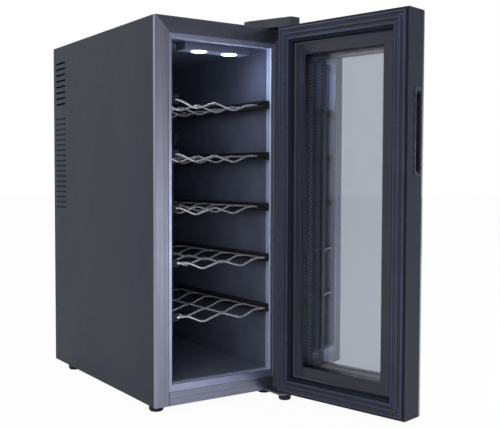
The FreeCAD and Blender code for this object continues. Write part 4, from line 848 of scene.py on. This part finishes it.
def addWorld():
    world = bpy.data.worlds.new("studio")
    world.use_nodes = True
    bpy.context.scene.world = world
    tree = world.node_tree
    tree.nodes.clear()
    output = addNode(tree, "ShaderNodeOutputWorld")
    light = addNode(tree, "ShaderNodeBackground")
    fill(light, {"Color": studio["ambientTint"], "Strength": studio["ambient"]})
    white = addNode(tree, "ShaderNodeBackground")
    fill(white, {"Strength": studio["backdrop"]})
    # polished metal sees a dim ceiling ahead of the cabinet, everything else that looks out sees white
    way = splitAxes(tree, addNode(tree, "ShaderNodeTexCoord").outputs["Generated"])
    upper = spread(tree, way["Z"], *studio["upperFrom"])
    ahead = spread(tree, way["Y"], *studio["aheadFrom"])
    path = addNode(tree, "ShaderNodeLightPath")
    dimmed = addMath(tree, "MULTIPLY", addMath(tree, "MULTIPLY", upper, ahead), path.outputs["Is Glossy Ray"])
    tone = addNode(tree, "ShaderNodeMix", data_type="RGBA")
    fill(tone, {"A": (1, 1, 1, 1), "B": studio["upperTone"]})
    tree.links.new(dimmed, tone.inputs["Factor"])
    tree.links.new(tone.outputs["Result"], white.inputs["Color"])
    seen = addMath(tree, "MAXIMUM", path.outputs["Is Camera Ray"], path.outputs["Is Glossy Ray"])
    seen = addMath(tree, "MAXIMUM", seen, path.outputs["Is Transmission Ray"])
    mix = addNode(tree, "ShaderNodeMixShader")
    tree.links.new(seen, mix.inputs["Fac"])
    tree.links.new(light.outputs[0], mix.inputs[1])
    tree.links.new(white.outputs[0], mix.inputs[2])
    tree.links.new(mix.outputs[0], output.inputs["Surface"])


def addFloor():
    size = studio["floorSize"]
    mesh = bpy.data.meshes.new("studio_floor")
    corners = [(-size, -size, 0), (size, -size, 0), (size, size, 0), (-size, size, 0)]
    mesh.from_pydata(corners, [], [(0, 1, 2, 3)])
    floor = bpy.data.objects.new("studio_floor", mesh)
    bpy.context.scene.collection.objects.link(floor)
    material, tree, shader = newMaterial("studio paper")
    shader.inputs["Base Color"].default_value = studio["floor"]
    shader.inputs["Roughness"].default_value = studio["floorRough"]
    shader.inputs["Specular IOR Level"].default_value = studio["floorSpecular"]
    bright = addNode(tree, "ShaderNodeEmission")
    fill(bright, {"Strength": studio["backdrop"]})
    path = addNode(tree, "ShaderNodeLightPath")
    mirrored = addMath(tree, "MULTIPLY", path.outputs["Is Glossy Ray"], studio["mirrorShare"])
    direct = addMath(tree, "MAXIMUM", path.outputs["Is Camera Ray"], path.outputs["Is Transmission Ray"])
    direct = addMath(tree, "MULTIPLY", direct, studio["floorShare"])
    mix = addNode(tree, "ShaderNodeMixShader")
    tree.links.new(addMath(tree, "MAXIMUM", mirrored, direct), mix.inputs["Fac"])
    tree.links.new(shader.outputs[0], mix.inputs[1])
    tree.links.new(bright.outputs[0], mix.inputs[2])
    tree.links.new(mix.outputs[0], tree.nodes["Material Output"].inputs["Surface"])
    mesh.materials.append(material)


frontParts = ("left_stile", "right_stile", "top_rail", "bottom_rail", "mouth_trim")
softboxes = {  # metres and watts
    "key": {"place": (-1.9, -1.9, 1.9), "target": (0, 0, 0.3), "size": (1.8, 1.8), "power": 42},
    "fill": {"place": (1.9, -2.2, 1.3), "target": (0, 0, 0.3), "size": (1.8, 1.6), "power": 20},
    "overhead": {"place": (0.2, 0.4, 2.6), "target": (0, 0, 0.3), "size": (2.0, 2.0), "power": 24},
    "card": {"place": (0.49, -1.72, 0.22), "target": (-0.11, -0.21, 0.24), "size": (0.64, 0.44), "power": 1.05,
             "onlyOn": frontParts},
}


def addSoftbox(name, box):
    # onlyOn: the parts that a card is aimed at; the other boxes light everything and show in no gloss
    data = bpy.data.lights.new(name, "AREA")
    data.shape = "RECTANGLE"
    data.size, data.size_y = box["size"]
    data.energy = box["power"]
    item = bpy.data.objects.new(name, data)
    way = Vector(box["target"]) - Vector(box["place"])
    aim = way.to_track_quat("-Z", "Y").to_matrix().to_4x4()
    item.matrix_world = Matrix.Translation(box["place"]) @ aim
    item.visible_glossy = "onlyOn" in box
    item.visible_transmission = False
    item.visible_camera = False
    bpy.context.scene.collection.objects.link(item)
    if "onlyOn" in box:
        lit = bpy.data.collections.new(name + " parts")
        for part in box["onlyOn"]:
            lit.objects.link(nodes[part])
        item.light_linking.receiver_collection = lit


lensLow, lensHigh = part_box("led_lenses")
led = {"energy": 0.09, "color": (0.8, 0.88, 1.0), "radius": 0.01, "inset": mm(13), "drop": mm(23.3)}


def addLed(name, x):
    # a small lamp under each lens, which gives the light that the lens only shows
    data = bpy.data.lights.new(name, "POINT")
    data.energy = led["energy"]
    data.color = led["color"]
    data.shadow_soft_size = led["radius"]
    item = bpy.data.objects.new(name, data)
    item.location = (x, (lensLow[1] + lensHigh[1]) / 2, lensLow[2] - led["drop"])
    item.visible_glossy = False
    bpy.context.scene.collection.objects.link(item)


addWorld()
addFloor()
for name, box in softboxes.items():
    addSoftbox(name, box)
addLed("led_left", lensLow[0] + led["inset"])
addLed("led_right", lensHigh[0] - led["inset"])
bpy.context.scene.view_settings.view_transform = "Standard"
print("camera, paper and lamps set")
